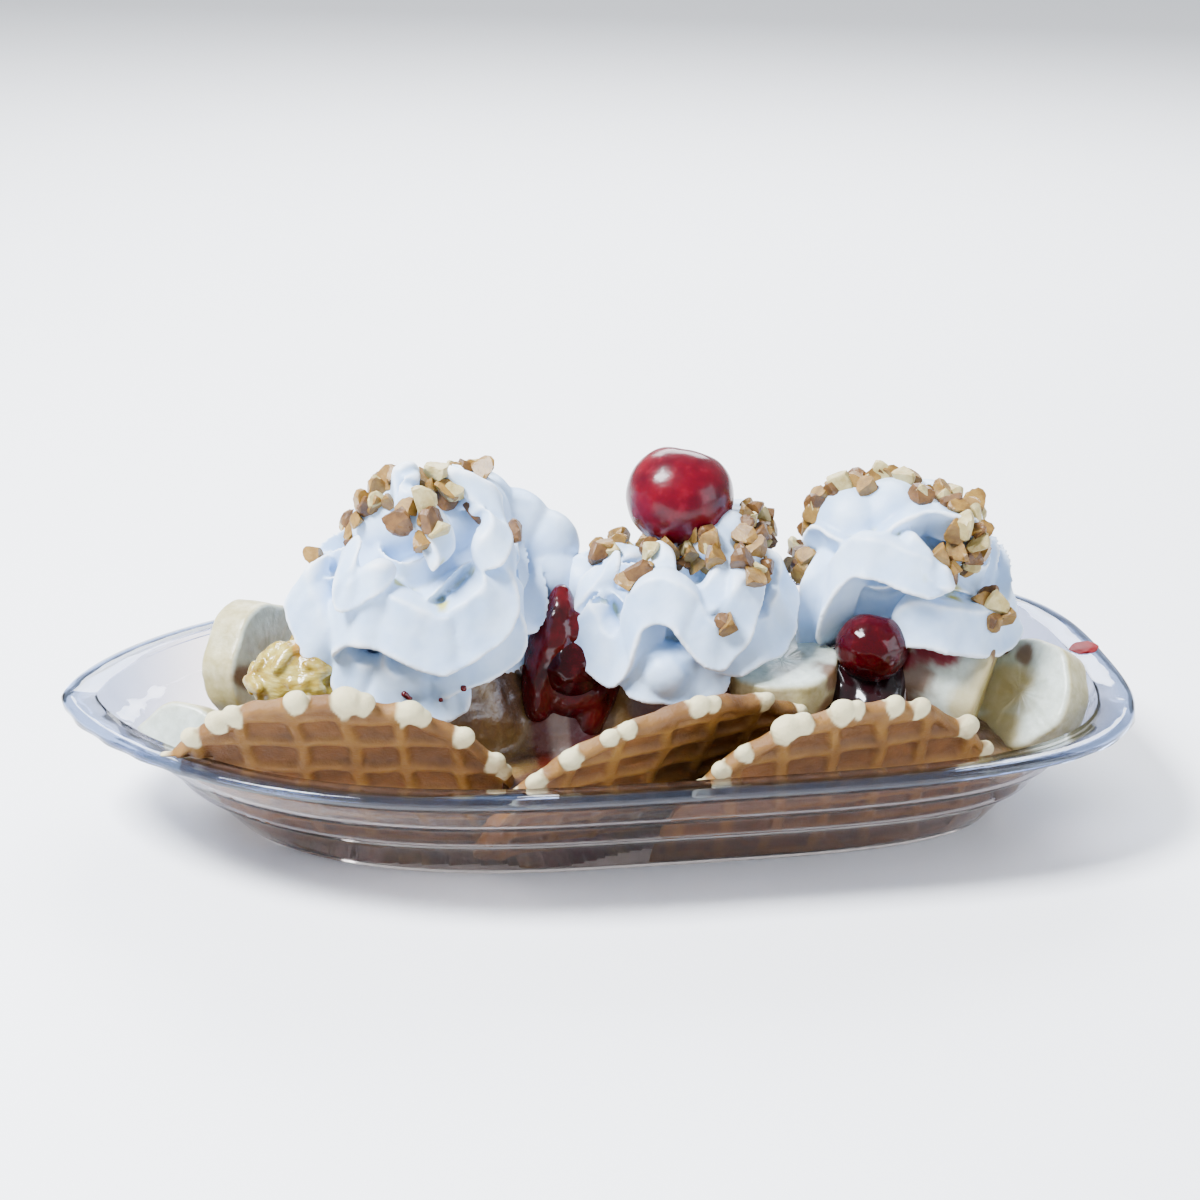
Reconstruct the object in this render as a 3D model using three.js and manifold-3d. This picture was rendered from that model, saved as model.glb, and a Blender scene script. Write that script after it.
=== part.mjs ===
// A banana split in its clear boat: three piped whipped cream swirls on ice cream, with cherries,
// banana slices, crushed pineapple and three half waffle discs.
// Millimetres, +Z up. The origin is the middle of the outline on the surface that the boat stands on,
// +X runs along the boat towards its loaded end, and -Y is the side that the waffles stand against.
import * as THREE from "three";
import { mergeVertices } from "three/addons/utils/BufferGeometryUtils.js";
import Module from "manifold-3d";

// ---- driving dimensions -------------------------------------------------------------------------

const BOAT = {
  halfLength: 110.8, // rim, outside
  halfWidth: 55.5,
  height: 26.8, // rim top above the table
  wall: 0.8,
  flangeSide: 5.3, // width of the flat rim along the sides
  flangeTip: 7.3, // and at the two tips
  skirt: 1.8, // down-turned edge of the rim
  tipBend: 7.0, // how far the empty tip is bent towards +Y
  footShift: 4.0, // the foot lies this far towards the loaded end
  stations: 44, // points round the outline
};
// Exponents of |x/a|^side + |y/b|^tip = 1: the loaded end is pressed out blunt, the empty end is pointed.
const LOADED_END = { side: 4.2, tip: 3.0 };
const EMPTY_END = { side: 2.94, tip: 1.48 };
// Outer wall, from the foot up: half length, half width and height of each level. Three ledges step it out.
const WALL_LEVELS = [
  [79.8, 33.7, 0],
  [86.0, 37.4, 7.6],
  [90.0, 40.3, 8.7],
  [91.6, 41.8, 13.7],
  [96.0, 45.1, 14.8],
  [97.4, 46.4, 20.0],
  [101.5, 49.4, 21.0],
];

const GAP = 0.35; // clear space between neighbouring pieces
const SHORTEST = [0.05, 0.03, 0.015]; // edges shorter than the first of these that works are closed up
const FLATTEST = 0.01; // and faces that are less high than this over their longest edge are turned

// Scoops of ice cream: centre and radius, squashed a little in height.
const SCOOPS = [
  { at: [-36, 2, 20], radius: 25 },
  { at: [17, 2, 19], radius: 24 },
  { at: [64, 7, 20], radius: 21 },
];
// Melted ice cream between the scoops, from the floor up: half length, half width and height of each level.
const MELT_LEVELS = [
  [82, 36, 2],
  [90, 42, 9],
  [93, 45, 15],
  [80, 34, 20],
];
const MELT_ENDS = [-70, 84]; // where it ends along the boat

// Piped swirls: widest at `belly`, with a blunt dome above it, drawn round in ridges by a star-shaped nozzle.
const SWIRLS = {
  cream_left: { at: [-36, 1], radius: 28.5, bottom: 30, belly: 44, top: 74, turns: 2, start: 0.4 },
  cream_middle: { at: [17, 1], radius: 26, bottom: 26, belly: 39, top: 60, turns: 1.5, start: 1.2 },
  cream_right: { at: [65, 2], radius: 25.5, bottom: 32, belly: 45, top: 70, turns: 2, start: 2.0 },
};
const RIDGES = 8;
const RIDGE_DEPTH = 0.2; // depth of the grooves between the ridges, as a share of the radius
const RIDGE_TWIST = 1.9; // radians that the ridges turn from bottom to top
const TURN_DEPTH = 0.14; // depth of the crease between one turn of the spiral and the next
const DOME_POWER = 0.7; // under 1 makes the dome blunter than a ball
const UNDERSIDE = -1.1; // lowest latitude of a swirl, in radians
const CREST_POWER = 0.8; // under 1 makes the ridges rounder
const CREASE_POWER = 0.6; // under 1 makes the crease between two turns narrower
const RIDGE_COLUMNS = 4; // columns of points to each ridge
const SWIRL_ROWS = 15;

// Lobes of cream that spill over behind the swirls and between them: centre and radius.
const LOBES = {
  cream_left: [
    { at: [-17.5, 12, 56.5], radius: 9.5, across: 12, down: 7 },
    { at: [-11, 7, 50], radius: 8, across: 12, down: 7 },
  ],
  cream_middle: [{ at: [31, 9, 50], radius: 9.5, across: 12, down: 7 }],
  cream_right: [],
};

// Chopped nuts on the swirls: how many, the side that they lie on, how far round they spread, and the seed.
const NUT = { size: 4.8, stretch: [1.2, 1, 0.8], lift: 0.15, lowest: 0.35 };
const NUTS = {
  cream_left: { count: 10, turn: -2.4, spread: 1.6, seed: 11 },
  cream_middle: { count: 10, turn: -0.9, spread: 1.5, seed: 23 },
  cream_right: { count: 10, turn: -0.8, spread: 2.2, seed: 37 },
};
const CHERRIES = {
  cherry_top: { at: [16.3, 0, 66.8], radius: 11, squash: 0.97, across: 20, down: 12 },
  cherry_dark_left: { at: [-7.4, -10, 34.5], radius: 7.4, squash: 0.97, across: 14, down: 9 },
  cherry_dark_right: { at: [53.2, -19, 39.3], radius: 7.4, squash: 0.97, across: 14, down: 9 },
};

// Slices of peeled banana: centre, direction of the axis, radius and thickness. The section has blunt corners,
// and its rows give the share of the radius at a share of the thickness.
const SLICE = {
  corners: 5,
  corner: 0.03,
  around: 20,
  rows: [
    [0.94, -0.5],
    [1, -0.38],
    [1, 0.38],
    [0.94, 0.5],
  ],
};
const BANANAS = {
  banana_left_upright: { at: [-71, 12, 30], axis: [0.78, -0.6, 0.1], radius: 12.8, thick: 8.5 },
  banana_left_low: { at: [-86, -3, 14.6], axis: [-0.45, -0.75, 0.45], radius: 12, thick: 8 },
  banana_right_upper: { at: [35.2, -16, 32.6], axis: [-0.06, -0.1, 1], radius: 11.8, thick: 8 },
  banana_right_lower: { at: [39, -18, 23.9], axis: [0.05, -0.08, 1], radius: 11.8, thick: 8 },
  banana_right_large: { at: [71, -13, 28], axis: [0.8, -0.42, -0.2], radius: 12.5, thick: 17 },
  banana_right_end: { at: [89, -16, 24.6], axis: [-0.72, -0.42, 0.55], radius: 12, thick: 8.5 },
};

// Half waffle discs: centre of the disc, direction of the straight edge, lean outwards in radians, and radius.
// The pits are `pit` deep, between ribs that are `rib` wide and `pitch` apart along the edge and up the face.
const WAFFLE = { thick: 4.0, pitch: [10.4, 7.4], rib: 2.2, pit: 1.2, rim: 1.2, foot: -6, halfEdge: 0.98, segments: 13 };
const WAFFLES = {
  waffle_left: { at: [-56.3, -21.5, 9.1], along: [0.987, -0.159], lean: 0.455, radius: 37.4 },
  waffle_middle: { at: [5.6, -24.3, 9.5], along: [0.945, 0.328], lean: 0.6, radius: 37.4 },
  waffle_right: { at: [41, -33.8, 6.2], along: [0.983, 0.184], lean: 0.4, radius: 36.3 },
};

const PINEAPPLE = { at: [-63, -13, 36], size: [10.5, 8, 8.5] };

const ROOM_TOP = 120; // nothing stands higher than this
const COLOURS = {
  boat: 0xc9d2dc,
  ice_cream: 0xb59a72,
  cream: 0xf2f5fa,
  cherry_top: 0xb01028,
  cherry_dark: 0x4a0810,
  banana: 0xe9e6cf,
  waffle: 0xb9813f,
  pineapple: 0xd8c154,
};

// ---- solids and meshes --------------------------------------------------------------------------

const wasm = await Module();
wasm.setup();

function solid(geometry, merge = 1e-4) {
  const bare = geometry.clone();
  bare.deleteAttribute("normal");
  bare.deleteAttribute("uv");
  const merged = mergeVertices(bare, merge);
  return new wasm.Manifold(
    new wasm.Mesh({
      numProp: 3,
      vertProperties: new Float32Array(merged.attributes.position.array),
      triVerts: new Uint32Array(merged.index.array),
    }),
  );
}

// The largest body of a solid: scraps that a cut leaves loose are dropped.
function largest(made) {
  return made.decompose().sort((a, b) => b.volume() - a.volume())[0];
}

function meshOf(made) {
  const mesh = made.getMesh();
  const points = new Float32Array(mesh.numVert * 3);
  for (let i = 0; i < mesh.numVert; i++)
    points.set(mesh.vertProperties.subarray(i * mesh.numProp, i * mesh.numProp + 3), i * 3);
  const geometry = new THREE.BufferGeometry();
  geometry.setAttribute("position", new THREE.BufferAttribute(points, 3));
  geometry.setIndex(new THREE.BufferAttribute(new Uint32Array(mesh.triVerts), 1));
  return geometry;
}

// Closes up the short edges that cuts leave, by joining their two ends.
function withoutShortEdges(geometry, shortest) {
  const position = geometry.attributes.position;
  const index = geometry.index.array;
  const joined = Array.from({ length: position.count }, (_, i) => i);
  const find = (i) => (joined[i] === i ? i : find(joined[i]));
  const a = new THREE.Vector3();
  const b = new THREE.Vector3();
  for (let f = 0; f < index.length; f += 3)
    for (let k = 0; k < 3; k++) {
      a.fromBufferAttribute(position, index[f + k]);
      b.fromBufferAttribute(position, index[f + ((k + 1) % 3)]);
      if (a.distanceTo(b) < shortest) joined[find(index[f + k])] = find(index[f + ((k + 1) % 3)]);
    }
  const faces = [];
  for (let f = 0; f < index.length; f += 3) {
    const corners = [0, 1, 2].map((k) => find(index[f + k]));
    if (new Set(corners).size === 3) faces.push(...corners);
  }
  const clean = new THREE.BufferGeometry();
  clean.setAttribute("position", position);
  clean.setIndex(withoutFlatFaces(position, faces));
  return clean;
}

// A face whose three corners are nearly in line shares its longest edge with another: the two are split
// along their other diagonal instead.
function withoutFlatFaces(position, faces) {
  const point = (i) => new THREE.Vector3().fromBufferAttribute(position, i);
  const owner = new Map();
  const own = (f) => [0, 1, 2].forEach((k) => owner.set(faces[f + k] + "_" + faces[f + ((k + 1) % 3)], f));
  for (let f = 0; f < faces.length; f += 3) own(f);
  for (let f = 0; f < faces.length; f += 3) {
    const corners = faces.slice(f, f + 3);
    const lengths = corners.map((i, k) => point(i).distanceTo(point(corners[(k + 1) % 3])));
    const longest = lengths.indexOf(Math.max(...lengths));
    const area = new THREE.Triangle(...corners.map(point)).getArea();
    if ((2 * area) / lengths[longest] > FLATTEST) continue;
    const [a, b, c] = [0, 1, 2].map((k) => corners[(longest + k) % 3]);
    const other = owner.get(b + "_" + a);
    const d = faces.slice(other, other + 3).find((i) => i !== a && i !== b);
    if (owner.has(c + "_" + d) || owner.has(d + "_" + c)) continue;
    owner.delete(a + "_" + b);
    owner.delete(b + "_" + a);
    faces.splice(f, 3, c, a, d);
    faces.splice(other, 3, d, b, c);
    own(f);
    own(other);
  }
  return faces;
}

// One clean body: closing short edges can free another scrap, so it is picked twice.
function geometryOf(made) {
  const once = meshOf(largest(made));
  for (const shortest of SHORTEST) {
    try {
      return meshOf(largest(solid(withoutShortEdges(once, shortest))));
    } catch {
      continue; // closing an edge pinched the surface
    }
  }
  return once;
}

// A closed skin over a stack of rings with as many points each, with its two ends fanned to their middles.
function skin(rings) {
  const around = rings[0].length;
  const points = rings.flat();
  const faces = [];
  for (let k = 0; k < rings.length - 1; k++)
    for (let i = 0; i < around; i++) {
      const a = k * around + i;
      const b = k * around + ((i + 1) % around);
      faces.push(a, b, b + around, a, b + around, a + around);
    }
  const ends = [rings[0], rings[rings.length - 1]];
  ends.forEach((ring, end) => {
    const middle = ring.reduce((sum, p) => sum.add(p), new THREE.Vector3()).divideScalar(around);
    const hub = points.push(middle) - 1;
    const first = end * (rings.length - 1) * around;
    for (let i = 0; i < around; i++) {
      const a = first + i;
      const b = first + ((i + 1) % around);
      if (end) faces.push(a, b, hub);
      else faces.push(b, a, hub);
    }
  });
  const geometry = new THREE.BufferGeometry();
  geometry.setAttribute(
    "position",
    new THREE.Float32BufferAttribute(points.flatMap((p) => [p.x, p.y, p.z]), 3),
  );
  geometry.setIndex(faces);
  return geometry;
}

// ---- boat ---------------------------------------------------------------------------------------

// One point of the boat's outline at a level, by its turn round the outline.
function outlinePoint(halfLength, halfWidth, z, turn) {
  const c = Math.cos(turn);
  const s = Math.sin(turn);
  const end = c >= 0 ? LOADED_END : EMPTY_END;
  const rise = Math.min(z / BOAT.height, 1);
  const x = halfLength * Math.sign(c) * Math.abs(c) ** (2 / end.side);
  const bend = x < 0 ? BOAT.tipBend * rise * (x / BOAT.halfLength) ** 2 : 0;
  const y = halfWidth * Math.sign(s) * Math.abs(s) ** (2 / end.tip) + bend;
  return new THREE.Vector3(x + BOAT.footShift * (1 - rise), y, z);
}

// Turns that space the stations evenly along the rim.
function evenTurns(count) {
  const fine = 6000;
  const lengths = [0];
  let last = outlinePoint(BOAT.halfLength, BOAT.halfWidth, BOAT.height, 0);
  for (let i = 1; i <= fine; i++) {
    const next = outlinePoint(BOAT.halfLength, BOAT.halfWidth, BOAT.height, (i / fine) * 2 * Math.PI);
    lengths.push(lengths[i - 1] + next.distanceTo(last));
    last = next;
  }
  const turns = [];
  for (let k = 0, i = 0; k < count; k++) {
    while (lengths[i] < (k / count) * lengths[fine]) i++;
    turns.push((i / fine) * 2 * Math.PI);
  }
  return turns;
}

const TURNS = evenTurns(BOAT.stations);

function boatRing([halfLength, halfWidth, z], inset = 0) {
  return TURNS.map((turn) => outlinePoint(halfLength - inset, halfWidth - inset, z, turn));
}

function boatGeometry() {
  const { halfLength, halfWidth, height, wall, flangeSide, flangeTip, skirt } = BOAT;
  const mouth = [halfLength - flangeTip, halfWidth - flangeSide, height];
  const outer = WALL_LEVELS.map((level) => boatRing(level));
  const underFlange = boatRing([mouth[0] + wall, mouth[1] + wall, height - wall]);
  const skirtInner = [height - wall, height - skirt].map((z) => boatRing([halfLength, halfWidth, z], wall));
  const skirtOuter = [height - skirt, height].map((z) => boatRing([halfLength, halfWidth, z]));
  const inner = WALL_LEVELS.map(([a, b, z]) => boatRing([a, b, z + wall], wall)).reverse();
  return skin([...outer, underFlange, ...skirtInner, ...skirtOuter, boatRing(mouth), ...inner]);
}

// The room inside the boat and above it, held clear of the wall, for trimming what lies in it.
function cavity() {
  const { halfLength, halfWidth, height, wall, flangeSide, flangeTip } = BOAT;
  const inset = wall + GAP;
  const rings = WALL_LEVELS.map(([a, b, z]) => boatRing([a, b, z + inset], inset));
  const mouth = [halfLength - flangeTip, halfWidth - flangeSide, height];
  rings.push(boatRing(mouth, GAP));
  rings.push(boatRing([mouth[0], mouth[1], ROOM_TOP], GAP));
  return solid(skin(rings));
}

// ---- shapes of the food, each grown on all sides by `grow` to cut its neighbours ------------------

function ball({ at, radius, squash = 1, across = 16, down = 10 }, grow) {
  const geometry = new THREE.SphereGeometry(1, across, down);
  geometry.rotateX(Math.PI / 2);
  geometry.scale(radius + grow, radius + grow, radius * squash + grow);
  geometry.translate(...at);
  return solid(geometry);
}

function iceCream(grow) {
  const everyThird = TURNS.filter((_, i) => i % 3 === 0);
  const melt = MELT_LEVELS.map(([a, b, z], k) => {
    const lift = k === MELT_LEVELS.length - 1 ? grow : 0;
    return everyThird.map((turn) => {
      const p = outlinePoint(a + grow, b + grow, z + lift, turn);
      p.x = Math.min(Math.max(p.x, MELT_ENDS[0] - grow), MELT_ENDS[1] + grow);
      return p;
    });
  });
  return SCOOPS.reduce((sum, scoop) => sum.add(ball(scoop, grow)), solid(skin(melt)));
}

// Stands a shape made about +Z up on a direction.
function turnTo(geometry, axis) {
  const turn = new THREE.Quaternion().setFromUnitVectors(
    new THREE.Vector3(0, 0, 1),
    new THREE.Vector3(...axis).normalize(),
  );
  return geometry.applyQuaternion(turn);
}

function slice({ at, axis, radius, thick }, grow) {
  const { corners, corner, around, rows } = SLICE;
  const rings = rows.map(([share, height]) => {
    const ring = [];
    for (let i = 0; i < around; i++) {
      const angle = (i / around) * 2 * Math.PI;
      const r = radius * share * (1 + corner * Math.cos(corners * angle)) + grow;
      const z = height * (thick + 2 * grow);
      ring.push(new THREE.Vector3(r * Math.cos(angle), r * Math.sin(angle), z));
    }
    return ring;
  });
  return solid(turnTo(skin(rings), axis).translate(...at));
}

// Corner frame of a waffle: its straight edge along the floor, its face leaning out over the boat's side.
function waffleMatrix({ at, along, lean }) {
  const edge = new THREE.Vector3(along[0], along[1], 0).normalize();
  const out = new THREE.Vector3(edge.y, -edge.x, 0);
  const rise = new THREE.Vector3(0, 0, Math.cos(lean)).addScaledVector(out, Math.sin(lean));
  const face = new THREE.Vector3().crossVectors(edge, rise);
  return new THREE.Matrix4().makeBasis(edge, rise, face).setPosition(...at);
}

function wafflePlate(radius, grow) {
  const { thick, foot, halfEdge, segments } = WAFFLE;
  const shape = new THREE.Shape();
  const end = radius * halfEdge + grow;
  shape.moveTo(-end, foot - grow);
  shape.lineTo(end, foot - grow);
  shape.absarc(0, 0, radius + grow, 0, Math.PI, false);
  shape.closePath();
  const depth = thick + 2 * grow;
  const geometry = new THREE.ExtrudeGeometry(shape, { depth, bevelEnabled: false, curveSegments: segments });
  return solid(geometry.translate(0, 0, -depth / 2));
}

// A half waffle disc: a plate with rows of pits pressed into its outer face.
function waffle(spec, grow) {
  const { thick, pitch, rib, pit, rim } = WAFFLE;
  let made = wafflePlate(spec.radius, grow);
  const [wide, tall] = pitch.map((step) => step - rib);
  const columns = grow ? -1 : Math.floor(spec.radius / pitch[0]);
  for (let i = -columns; i <= columns; i++)
    for (let j = 0; j <= Math.floor(spec.radius / pitch[1]); j++) {
      const x = i * pitch[0];
      const y = j * pitch[1];
      if (Math.hypot(Math.abs(x) + wide / 2, y + tall / 2) > spec.radius - rim) continue;
      const hole = new THREE.BoxGeometry(wide, tall, 2 * pit).translate(x, y, thick / 2);
      made = made.subtract(solid(hole));
    }
  return made.transform(waffleMatrix(spec).elements);
}

// A piped swirl. Its columns of points follow the ridges round and up.
function swirl({ at, radius, bottom, belly, top, turns, start }, grow) {
  const columns = RIDGE_COLUMNS * RIDGES;
  const rings = [];
  for (let k = 0; k < SWIRL_ROWS; k++) {
    const v = k / SWIRL_ROWS;
    const latitude = UNDERSIDE + (Math.PI / 2 - UNDERSIDE) * v;
    const tall = latitude < 0 ? (belly - bottom) / -Math.sin(UNDERSIDE) : top - belly;
    const z = belly + (tall + grow) * Math.sin(latitude);
    const ring = [];
    for (let i = 0; i < columns; i++) {
      const turn = start + (i / columns) * 2 * Math.PI + RIDGE_TWIST * v;
      const crest = ((1 + Math.cos((i / RIDGE_COLUMNS) * 2 * Math.PI)) / 2) ** CREST_POWER;
      const along = turns * v - turn / (2 * Math.PI);
      const crease = 1 - Math.abs(Math.sin(Math.PI * along)) ** CREASE_POWER;
      const share = 1 - RIDGE_DEPTH * (1 - crest) - TURN_DEPTH * crease;
      const r = radius * share * Math.cos(latitude) ** DOME_POWER + grow;
      ring.push(new THREE.Vector3(at[0] + r * Math.cos(turn), at[1] + r * Math.sin(turn), z));
    }
    rings.push(ring);
  }
  return solid(skin(rings));
}

// The same run of draws each time, from 0 to 1.
function draws(seed) {
  let state = seed;
  return () => {
    state = (state + 0x6d2b79f5) | 0;
    let t = Math.imul(state ^ (state >>> 15), 1 | state);
    t = (t + Math.imul(t ^ (t >>> 7), 61 | t)) ^ t;
    return ((t ^ (t >>> 14)) >>> 0) / 4294967296;
  };
}

// Chopped nuts scattered over a swirl's upper side, each sunk a little where a ray to its middle lands.
function nuts(cream, { at, belly, top }, { count, turn, spread, seed }) {
  const { size, stretch, lift, lowest } = NUT;
  const draw = draws(seed);
  const target = new THREE.Mesh(meshOf(cream));
  const heart = new THREE.Vector3(at[0], at[1], belly);
  const caster = new THREE.Raycaster();
  let made = cream;
  for (let k = 0; k < count; k++) {
    const azimuth = turn + spread * (draw() - 0.5) * 2;
    const elevation = lowest + (Math.PI / 2 - lowest) * draw();
    const ray = new THREE.Vector3().setFromSphericalCoords(1, Math.PI / 2 - elevation, azimuth);
    const outward = new THREE.Vector3(ray.z, ray.x, ray.y);
    caster.set(heart.clone().addScaledVector(outward, 2 * top), outward.clone().negate());
    const [hit] = caster.intersectObject(target);
    const nut = new THREE.IcosahedronGeometry(size / 2, 0).scale(...stretch);
    nut.rotateX(draw() * Math.PI).rotateZ(draw() * Math.PI);
    nut.translate(...hit.point.addScaledVector(outward, lift * size).toArray());
    made = made.add(solid(nut));
  }
  return made;
}

// A lump of crushed pineapple: a ball with two waves of bumps over it.
function lump({ at, size }, grow) {
  const geometry = new THREE.IcosahedronGeometry(1, 2);
  const p = geometry.attributes.position;
  for (let i = 0; i < p.count; i++) {
    const v = new THREE.Vector3().fromBufferAttribute(p, i);
    const bump = 1 + 0.1 * Math.sin(5 * v.x + 2) * Math.sin(6 * v.y + 1) + 0.08 * Math.sin(7 * v.z + 4 * v.x);
    p.setXYZ(i, v.x * (size[0] * bump + grow), v.y * (size[1] * bump + grow), v.z * (size[2] * bump + grow));
  }
  return solid(geometry.translate(...at));
}

// ---- assembly -----------------------------------------------------------------------------------

const group = new THREE.Group();

function place(name, geometry, roughness) {
  const kind = Object.keys(COLOURS).find((key) => name.startsWith(key));
  const material = new THREE.MeshStandardMaterial({ color: COLOURS[kind], roughness, metalness: 0 });
  const mesh = new THREE.Mesh(geometry, material);
  mesh.name = name;
  group.add(mesh);
}

const room = cavity();
const cut = []; // grown copies of what is already placed
const solids = {};

function settle(name, shape) {
  let made = shape(0).intersect(room);
  for (const other of cut) made = made.subtract(other);
  solids[name] = made;
  cut.push(shape(GAP));
  return made;
}

for (const [name, spec] of Object.entries(CHERRIES)) settle(name, (grow) => ball(spec, grow));
for (const [name, spec] of Object.entries(WAFFLES)) settle(name, (grow) => waffle(spec, grow));
for (const [name, spec] of Object.entries(BANANAS)) settle(name, (grow) => slice(spec, grow));
settle("pineapple", (grow) => lump(PINEAPPLE, grow));
settle("ice_cream", iceCream);
for (const [name, spec] of Object.entries(SWIRLS))
  settle(name, (grow) => {
    const cream = LOBES[name].reduce((sum, lobe) => sum.add(ball(lobe, grow)), swirl(spec, grow));
    return grow ? cream : nuts(cream, spec, NUTS[name]);
  });

place("boat", boatGeometry(), 0.1);
for (const [name, made] of Object.entries(solids)) place(name, geometryOf(made), 0.5);

export default group;
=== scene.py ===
"""Looks of a banana split in its clear boat.

Lengths in the functions below are millimetres, in the model's own frame: +X runs along the boat towards its
loaded end, +Z is up, and the waffles stand on the -Y side. Meshes are scaled to metres as they are made.
"""

import math

import bpy
import numpy as np
from bpy.props import FloatProperty, FloatVectorProperty, IntProperty, PointerProperty
from bpy.types import Operator, Panel, PropertyGroup
from mathutils import Matrix, Vector


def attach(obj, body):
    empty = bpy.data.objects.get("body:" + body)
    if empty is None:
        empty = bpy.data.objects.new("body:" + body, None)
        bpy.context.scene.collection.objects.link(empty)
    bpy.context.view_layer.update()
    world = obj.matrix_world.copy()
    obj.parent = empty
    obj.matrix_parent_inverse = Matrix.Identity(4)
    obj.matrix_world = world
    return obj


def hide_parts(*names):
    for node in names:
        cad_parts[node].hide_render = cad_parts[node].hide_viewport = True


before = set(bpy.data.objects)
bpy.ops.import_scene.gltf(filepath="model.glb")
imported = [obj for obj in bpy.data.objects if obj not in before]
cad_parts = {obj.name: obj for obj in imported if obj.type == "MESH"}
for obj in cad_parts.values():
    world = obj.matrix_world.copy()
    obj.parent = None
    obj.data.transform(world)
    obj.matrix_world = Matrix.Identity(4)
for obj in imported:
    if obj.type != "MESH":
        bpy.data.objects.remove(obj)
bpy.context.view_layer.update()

bl_info = {
    "name": "Banana split",
    "version": (1, 0, 0),
    "blender": (4, 5, 0),
    "location": "View3D > Sidebar > Banana split",
    "description": "Builds the food, the clear boat and the studio round the packed model",
    "category": "Object",
}

MM = 0.001

# ---- sizes ---------------------------------------------------------------------------------------

# Half length and half width over the rim, and its height.
RIM_LENGTH, RIM_WIDTH, RIM_HEIGHT = 110.8, 55.5, 26.8
WALL = 0.8
FLANGE_SIDE, FLANGE_TIP, SKIRT = 5.3, 7.3, 1.8
TIP_BEND = 7.0  # the empty tip is bent this far towards +Y
FOOT_SHIFT = 4.0  # the foot lies this far towards the loaded end
LOADED_END = (4.2, 3.0)  # exponents of the outline, along and across
EMPTY_END = (2.94, 1.48)
# Half length, half width and height of the outer wall, from the foot up: sloped walls between thin ledges.
WALL_LEVELS = [
    (79.8, 33.7, 0.0),
    (87.0, 38.1, 7.8),
    (89.6, 40.0, 8.5),
    (92.3, 42.4, 13.9),
    (95.3, 44.6, 14.6),
    (98.1, 46.8, 20.1),
    (101.0, 48.9, 20.8),
    (103.5, 50.2, 26.8),
]

SCOOPS = [((-36, 2, 20), 25), ((17, 2, 19), 24), ((64, 7, 20), 21)]
SLUMP = ((-9.5, -4, 13.5), 17.5)  # ice cream that slid in between the first two scoops
MELT_LEVEL = 15.0
MELT_ENDS = (-70, 84)

# Piped swirls: middle, reach of the rope's middle line, rope radius, height of its first and last turn,
# number of turns, and where it starts.
SWIRLS = {
    "cream_left": dict(
        at=(-36, 1), ring=14.4, rope=12.6, low=42.0, high=62.0, turns=2.15, start=-2.2, seed=3,
    ),
    "cream_middle": dict(
        at=(17, 1), ring=12.6, rope=12.0, low=38.0, high=49.0, turns=1.7, start=-2.6, seed=8,
    ),
    "cream_right": dict(
        at=(65, 2), ring=12.2, rope=11.8, low=43.5, high=58.5, turns=2.1, start=-2.0, seed=5,
    ),
}

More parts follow.
